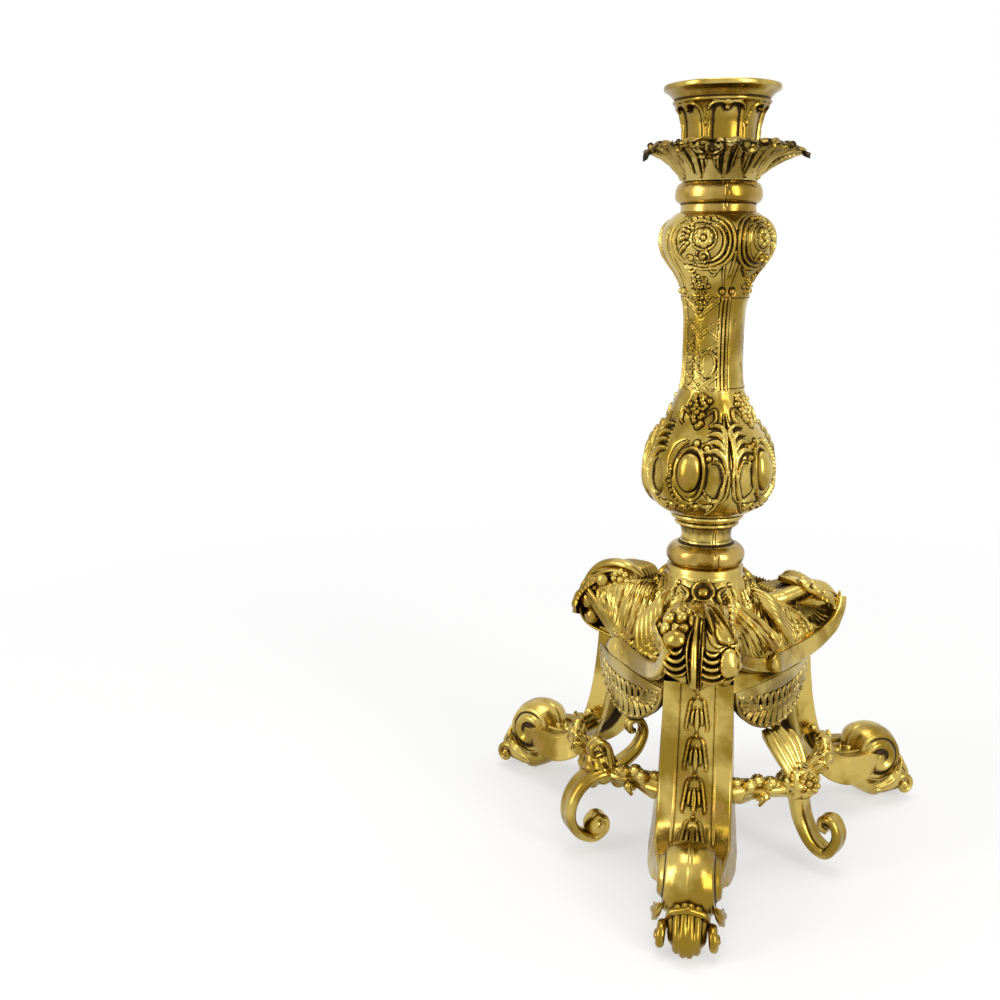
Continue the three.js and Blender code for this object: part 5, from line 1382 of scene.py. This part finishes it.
def edge_band(side):
    """Moulded band from the middle of a side along the lower edge and up over the corner."""
    rows, columns = 120, 30
    line, _ = spaced(smooth(BAND_LINES[side], 12), rows)
    tangent = np.gradient(line, axis=0)
    tangent /= np.linalg.norm(tangent, axis=1, keepdims=True)
    share = np.linspace(0, 1, rows)
    turn = np.clip(share * 1.4, 0, 1)
    out = np.stack((0.75 - 0.45 * turn, side * (0.65 + 0.3 * turn), 0.25 - 0.15 * turn), 1)
    out -= np.einsum("ij,ij->i", out, tangent)[:, None] * tangent
    out /= np.linalg.norm(out, axis=1, keepdims=True)
    up = np.cross(tangent, out)
    angle = np.linspace(0, TURN, columns, endpoint=False)[None]
    bold = 1.0 if side < 0 else 0.84
    tall = bold * keyed([(0, 2.6), (0.03, 3.9), (0.1, 4.4), (0.6, 3.9), (1, 2.4)], share)[:, None]
    thick = bold * keyed([(0, 2.0), (0.04, 3.0), (0.5, 2.6), (1, 1.6)], share)[:, None]
    c, s = np.cos(angle), np.sin(angle)
    a = np.sign(c) * np.abs(c) ** (2 / 3.0) * thick
    b = np.sign(s) * np.abs(s) ** (2 / 3.0) * tall
    lined = ((share > 0.1) & (share < 0.9))[:, None]
    for level, depth in ((-0.45, 0.7), (0.0, 0.45), (0.45, 0.7)):
        a = a - depth * np.exp(-(((b / tall - level) / 0.08) ** 2)) * (c > 0) * lined
    return Sheet(line[:, None] + a[..., None] * out[:, None] + b[..., None] * up[:, None])


# ---------------------------------------------------------------- aprons


def apron():
    """Half-round plate painted dark as shade: a plain strip, a row of ringed openings, then leaf
    ribs to the edge.
    """
    sheets = []
    half, drop, radius = 29.5, 19.8, 33.2

    def on_plate(x, y, proud=0.0):
        """A point of the plate's own plane, bulged outwards in the middle."""
        x, y = np.asarray(x, float), np.asarray(y, float)
        bulge = 4.2 * (1 - (x / half) ** 2) + proud + 0.05 * y
        return np.stack((radius + bulge + 0 * y, x + 0 * y, LEG_SEAT + y + 0 * x), -1)

    back = pad(closed_outline([(-27.4, -3), (0, -2), (27.4, -3), (25.6, -10), (15.4, -16.4),
                               (0, -18.6), (-15.4, -16.4), (-25.6, -10)], 70), 0.6, 10, 4)
    ground = on_plate(back[..., 0], back[..., 2], -1.2)
    ground[..., 0] += back[..., 1]
    sheets.append(Sheet(ground))
    # Wholly in recess, so the finish paints the plate dark brown: painted shade behind the
    # openings.
    sheets[0].recess[:] = 1
    level = np.linspace(-half, half, 60)
    sheets.append(strand(on_plate(level, -1.4), [(0, 4), (0.5, 6.6), (1, 4)], 1.6, 80, 18,
                         (0, 0, 1)))
    openings = np.linspace(-24.5, 24.5, 12)
    for x in openings:
        y = -8.2 + 4.0 * (abs(x) / 27) ** 2
        tilt = math.radians(x * 0.9)
        t = np.linspace(0, TURN, 30)
        u, v = 1.75 * np.cos(t), 3.3 * np.sin(t)
        ring = on_plate(x + u * math.cos(tilt) - v * math.sin(-tilt),
                        y + u * math.sin(-tilt) + v * math.cos(tilt), 0.5)
        sheets.append(strand(ring, 1.5, 1.9, 34, 9, (1, 0, 0), None, True))
    for k in range(17):
        a = math.radians(180 + 180 * (k + 0.5) / 17)
        tip = np.array([half * 0.97 * math.cos(a), drop * math.sin(a)])
        foot = np.array([tip[0] * 0.72, -10.4 + 4.6 * (abs(tip[0]) / half) ** 2])
        mid = (foot + tip) / 2 + np.array([0.5, 0.2])
        line = smooth([foot, mid, tip], 8)
        sheets.append(strand(on_plate(line[:, 0], line[:, 1], 0.3),
                             [(0, 1.8), (0.55, 3.3), (1, 1.6)], 1.6, 28, 18,
                             (0, math.cos(a + math.pi / 2), math.sin(a + math.pi / 2)),
                             ribbed(0.22, 4)))
        sheets.append(bead(on_plate(*(tip * 0.97), 0.4), 2.3, 8, 10))
    for near, height, width in ((0.98, drop * 0.985, 1.5), (0.74, 12.4, 1.3)):
        t = np.linspace(0, math.pi, 60)
        edge = on_plate(half * near * np.cos(t), -height * np.sin(t))
        sheets.append(strand(edge, width, width, 90, 10, (1, 0, 0)))
    return sheets


# ---------------------------------------------------------------- scroll brackets


def channelled(share, angle):
    """A groove along each broad side of a strip."""
    upper, lower = (np.exp(-(((angle - way) / 0.45) ** 2)) for way in (TURN / 4, 3 * TURN / 4))
    return -0.9 * upper - 0.9 * lower


def strip(points, width, thickness, level=0.0, rows=150):
    """Channelled strip along (radius, height) points."""
    return strand(flat_path(points, level), width, thickness, rows, 34, (0, 1, 0), channelled)


def outward_scroll():
    """J-shaped scroll that curls up at its outer end, with long leaf fingers over it."""
    sheets = [strip([(46.5, 35), (47.6, 27), (49.8, 18.8), (54.6, 10.8), (60.6, 7.8), (64.2, 11.6),
                     (65.4, 17.2), (62.8, 22.2), (58.8, 21.6), (58.4, 18.2), (61, 17)],
                    [(0, 12), (0.5, 10.4), (0.8, 8.6), (1, 6)],
                    [(0, 8.5), (0.4, 6.4), (0.8, 4.6), (1, 3.4)])]
    for k, (y, tip, reach) in enumerate(((-6.4, 54.2, 33.6), (-2.2, 52.4, 32.4), (2.4, 53.2, 33.2),
                                         (6.4, 50, 36))):
        line = smooth([(47.6, y * 0.4, 31), (45.8, y * 0.8, 38.4), (40.4, y, 46.4 + 0.6 * k),
                       (reach, y * 0.9, tip)], 10)
        sheets.append(strand(line, [(0, 3), (0.4, 5), (0.8, 4.8), (1, 2.6)],
                             [(0, 3), (0.5, 4.6), (0.9, 5), (1, 2.4)], 60, 24, (0, 1, 0),
                             ribbed(0.3, 4)))
    sheets += rosette((54.6, -5.4, 37.2), 8.4, -1)
    return sheets


def inward_scroll(side):
    """C-shaped scroll that curls in under the knuckle, and two upper scrolls."""
    level = side * 5.0
    c_line = [(42, 31.4), (48.8, 33.4), (56.6, 29.6), (61.2, 22.4), (61.6, 14.4), (57.6, 8.0),
              (51.4, 5.6), (46.6, 8.4), (46.4, 12.8), (50, 14), (51.6, 11)]
    sheets = [strip(c_line, [(0, 12), (0.5, 11), (0.8, 9.6), (1, 8)],
                    [(0, 7), (0.4, 5.6), (0.8, 4.6), (1, 4)], level)]
    sheets.append(bead((50, level, 10.4), 9.4, 18, 24, (1, 1.25, 1)))
    sheets.append(strip([(44, 33), (36.6, 37.4), (31.4, 42), (28.8, 48.6), (31, 54), (35, 53.6),
                         (35.4, 50), (33, 49.6)], [(0, 9), (0.6, 6.4), (1, 4.6)],
                        [(0, 6.4), (0.6, 4.2), (1, 3)], level, 110))
    sheets.append(strip([(44, 34), (44.2, 39), (45.6, 44.6), (49.4, 47), (52.6, 44.6), (51.6, 41),
                         (48.4, 41.4)], [(0, 8), (0.6, 6), (1, 4.4)],
                        [(0, 5), (0.6, 3.4), (1, 2.6)], level, 90))
    for x, y, z, size in ((47.4, 7.6, 32.6, 7.2), (41, 8.4, 31, 7.8), (52, 7, 30.6, 5.4)):
        sheets.append(bead((x, side * y, z), size, 16, 22, (1, 0.9, 1.1)))
    return sheets


def leafy_arm(side, low):
    """Arm from the knuckle to a leg, with folded leaves. The low one passes nearer the axis."""
    half = math.radians(60)
    anchor = np.array([LEG_RADIUS - 1.5, -side * 11.2])
    turn = np.array([[math.cos(half), -side * math.sin(half)],
                     [side * math.sin(half), math.cos(half)]])
    end = turn @ anchor
    if low:
        path = [(46, side * 2, 32), (42.4, side * 10, 33), (38, side * 17, 34), (*end, 36)]
    else:
        path = [(48, side * 2, 36), (47, side * 12, 38), (44.6, end[1] * 0.7, 38), (*end, 40)]
    path = smooth(path, 12)

    def leafy(share, angle):
        """Turning folds about the outer third, on four shallow ribs."""
        folds = 0.6 * np.cos(angle * 5 + share * 9) * np.exp(-(((share - 0.7) / 0.26) ** 2))
        return folds + 0.3 * np.cos(angle * 4)

    sheets = [strand(path, [(0, 8), (0.35, 6.6), (0.6, 7.4), (0.82, 10), (1, 7.4)],
                     [(0, 7.6), (0.35, 5.8), (0.6, 6.4), (0.82, 9), (1, 6.6)], 84, 30, (0, 0, 1),
                     leafy)]
    for share, size, lift, out in ((0.45, 4.2, 2.4, 2.0), (0.6, 5.4, 3.0, 2.6),
                                   (0.74, 5.0, 4.2, 1.6), (0.86, 5.4, 3.4, 3.0),
                                   (0.7, 4.0, -2.6, 2.6), (0.94, 3.8, 4.6, 1.2)):
        spot = path[int(share * (len(path) - 1))] + np.array([out, 0, lift])
        sheets.append(Sheet(raised(ball(spot, size, 18, 26, (1, 1.2, 0.9)), 0.5 * lumps(18, 26))))
    for k, (share, reach) in enumerate(((0.5, 5.4), (0.66, 6.6), (0.8, 6.4))):
        foot = path[int(share * (len(path) - 1))]
        tip = foot + np.array([2.4, side * reach * 0.7, reach * (1 if k != 1 else -0.8)])
        leaf_path = smooth([foot, (foot + tip) / 2 + np.array([2.2, 0, 0.6]), tip], 8)
        sheets.append(strand(leaf_path, [(0, 3.4), (0.5, 5), (1, 0.9)],
                             [(0, 3), (0.5, 2.4), (1, 0.8)], 26, 22, (0, 1, 0.4), ribbed(0.3, 5)))
    return sheets


def bracket(low_side):
    """Knuckle between two legs and its scrolls: the left one curls inwards, the others outwards."""
    sheets = [Sheet(raised(ball((46.6, 0, 34), 15, 50, 70, (1, 1.2, 1)), lumps(50, 70)))]
    sheets += inward_scroll(low_side) if low_side > 0 else outward_scroll()
    for side in (-1, 1):
        sheets += leafy_arm(side, side == low_side)
    for tip, mid in (((51.6, 10.4, 50.6), (52, 9, 44)), ((56, 6, 47), (54.6, 6.4, 41)),
                     ((47.4, 13, 46.8), (49, 10.4, 42)), ((55.4, 11, 42.4), (53, 8.4, 40))):
        side = -low_side if low_side else 1
        leaf_path = smooth(np.array([(48, 3.0, 37), mid, tip]) * (1, side, 1), 10)
        sheets.append(strand(leaf_path, [(0, 3), (0.45, 5.2), (1, 0.7)],
                             [(0, 3), (0.5, 2.6), (1, 0.7)], 36, 26, (0.3, 0.2 * side, 1),
                             fading_ribs))
    return sheets


def fading_ribs(share, angle):
    """Six ribs that die away at both ends of a strand."""
    return 0.35 * np.cos(angle * 6) * np.sin(np.pi * share)


def lumps(rows, columns):
    """Overlapping folds for a leafy knuckle."""
    v = np.linspace(0, math.pi, rows)[:, None]
    u = np.linspace(0, TURN, columns, endpoint=False)[None]
    return 0.8 * np.abs(np.sin(u * 4 + np.sin(v * 3) * 0.8)) * np.sin(v) + 0.4 * np.cos(v * 9)


# ---------------------------------------------------------------- making the pieces

CORNERS = {"front": FRONT, "right": FRONT + CORNER_PITCH, "left": FRONT - CORNER_PITCH}
GAPS = {"right": FRONT + 60, "back": FRONT + 180, "left": FRONT - 60}

piece("candle_cup_chased", candle_cup(), ["candle_cup"], GILT)
piece("drip_pan_leafy", drip_pan(), ["drip_pan"], DARK)
piece("collar_ring_rubbed", collar_ring(), ["collar_ring"], WORN)
piece("stem_knop", stem_knop(), ["baluster_stem"], GILT)
piece("stem_shaft", stem_shaft(), ["baluster_stem"], GILT)
piece("stem_bulb", stem_bulb(), ["baluster_stem"], GILT)
piece("lower_ring_rubbed", lower_ring(), ["lower_ring"], WORN)
piece("base_bell", [body_dome()], ["base_body"], GILT)

bands = [edge_band(side) for side in (-1, 1)]
strap, rear_strap, foot, leaf = leg_strap(0), leg_strap(8), leg_foot(), corner_leaf(1)
side_leaf = Sheet(corner_leaf(0.55).points - np.array([2.4, 0, 2.8]))
for side, azimuth in CORNERS.items():
    front = side == "front"
    ear = corner_scroll(side) + bands
    piece(f"base_corner_scroll_{side}", [s.at(azimuth) for s in ear], ["base_body"], GILT)
    leg = [strap if front else rear_strap, *foot]
    piece(f"leg_{side}_chased", [s.at(azimuth) for s in leg], [f"leg_{side}"], GILT)
    shown = (leaf if front else side_leaf).at(azimuth)
    piece(f"corner_leaf_{side}_chased", [shown], [f"corner_leaf_{side}"], GILT)

fan = apron()
LOW_SIDES = {"right": -1, "back": 0, "left": 1}
for side, azimuth in GAPS.items():
    plate = [s.at(azimuth) for s in fan]
    piece(f"apron_{side}_pierced", plate, [f"apron_{side}"], DARK)
    scroll = [s.at(azimuth) for s in bracket(LOW_SIDES[side])]
    piece(f"scroll_bracket_{side}_chased", scroll, [f"scroll_bracket_{side}"], GILT)

for name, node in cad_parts.items():
    node.data.materials.clear()
    node.data.materials.append(STEEL if name.startswith(("tie_rod", "rod_", "leg_screw")) else GILT)

# ---------------------------------------------------------------- studio


def seen_by_eye(n):
    """1 for rays from the camera, mirrors and glass, 0 for the light that falls on things."""
    rays = n.put("ShaderNodeLightPath").outputs
    return n.math("ADD", n.math("ADD", rays["Is Camera Ray"], rays["Is Glossy Ray"]),
                  rays["Is Transmission Ray"])


def white_floor():
    """Pale floor that keeps the shadow round the stand and runs out into plain white."""
    n = material_nodes("white_floor")
    n.shader.inputs["Base Color"].default_value = (0.86, 0.86, 0.85, 1)
    n.shader.inputs["Roughness"].default_value = 1
    n.shader.inputs["Specular IOR Level"].default_value = 0
    distance = n.put("ShaderNodeVectorMath", {0: n.place}, operation="LENGTH").outputs["Value"]
    white = n.put("ShaderNodeEmission", {"Color": (1, 1, 1, 1), "Strength": 1.0}).outputs[0]
    share = n.math("MULTIPLY", seen_by_eye(n), n.ramp(distance, 0.12, 0.7, 0.55, 1.0))
    blend = n.put("ShaderNodeMixShader", {0: share, 1: n.shader.outputs[0], 2: white})
    n.tree.links.new(blend.outputs[0], n.tree.nodes["Material Output"].inputs["Surface"])
    return n.owner


def flat_sheet(name, size, place, facing, material):
    """Square sheet of the given size, facing a direction."""
    mesh = bpy.data.meshes.new(name)
    h = size / 2
    corners = [(-h, -h, 0), (h, -h, 0), (h, h, 0), (-h, h, 0)]
    turn = Vector(facing).to_track_quat("Z", "Y").to_matrix().to_4x4()
    mesh.from_pydata([tuple(Matrix.Translation(place) @ turn @ Vector(c)) for c in corners], [],
                     [(0, 1, 2, 3)])
    mesh.materials.append(material)
    made = bpy.data.objects.new(name, mesh)
    bpy.context.scene.collection.objects.link(made)


def softbox(name, place, aim, size, power):
    """White area lamp of (width, height) metres and a power in watts."""
    light = bpy.data.lights.new(name, "AREA")
    light.shape = "RECTANGLE"
    light.size, light.size_y = size
    light.energy = power
    made = bpy.data.objects.new(name, light)
    made.location = place
    made.rotation_mode = "QUATERNION"
    made.rotation_quaternion = (aim - Vector(place)).to_track_quat("-Z", "Y")
    bpy.context.scene.collection.objects.link(made)


flat_sheet("floor", 6, (0, 0, -0.0002), (0, 0, 1), white_floor())

centre = Vector((0, float(AXIS[1]) * TO_METRES, 0.16))
softbox("window_right", (0.85, -0.75, 0.55), centre, (0.35, 0.8), 7.5)
softbox("window_left", (-0.95, -0.55, 0.5), centre, (0.3, 0.8), 5)
softbox("ceiling", (0.0, 0.1, 1.3), centre, (0.7, 0.7), 5.6)

ROOM_LIGHT = 0.6
room = Nodes(bpy.data.worlds.new("white_room"))
bpy.context.scene.world = room.owner
background = room.tree.nodes["Background"].inputs
room.feed(background["Strength"], room.ramp(seen_by_eye(room), 0, 1, ROOM_LIGHT, 1.0))
background["Color"].default_value = (1, 1, 1, 1)

EYE = Vector((0.0071, -0.4806, 0.2432))
TURNED_LEFT, TIPPED_DOWN = math.radians(11.03), math.radians(11.93)
lens = bpy.data.cameras.new("camera")
lens.sensor_width, lens.lens = 36, 42.48
lens.clip_start, lens.clip_end = 0.01, 20
camera = bpy.data.objects.new("camera", lens)
camera.location = EYE + Vector(AXIS * TO_METRES)
level = math.cos(TIPPED_DOWN)
looks = Vector((-math.sin(TURNED_LEFT) * level, math.cos(TURNED_LEFT) * level,
                -math.sin(TIPPED_DOWN)))
camera.rotation_mode = "QUATERNION"
camera.rotation_quaternion = looks.to_track_quat("-Z", "Y")
bpy.context.scene.collection.objects.link(camera)
bpy.context.scene.camera = camera
bpy.context.scene.view_settings.view_transform = "Standard"
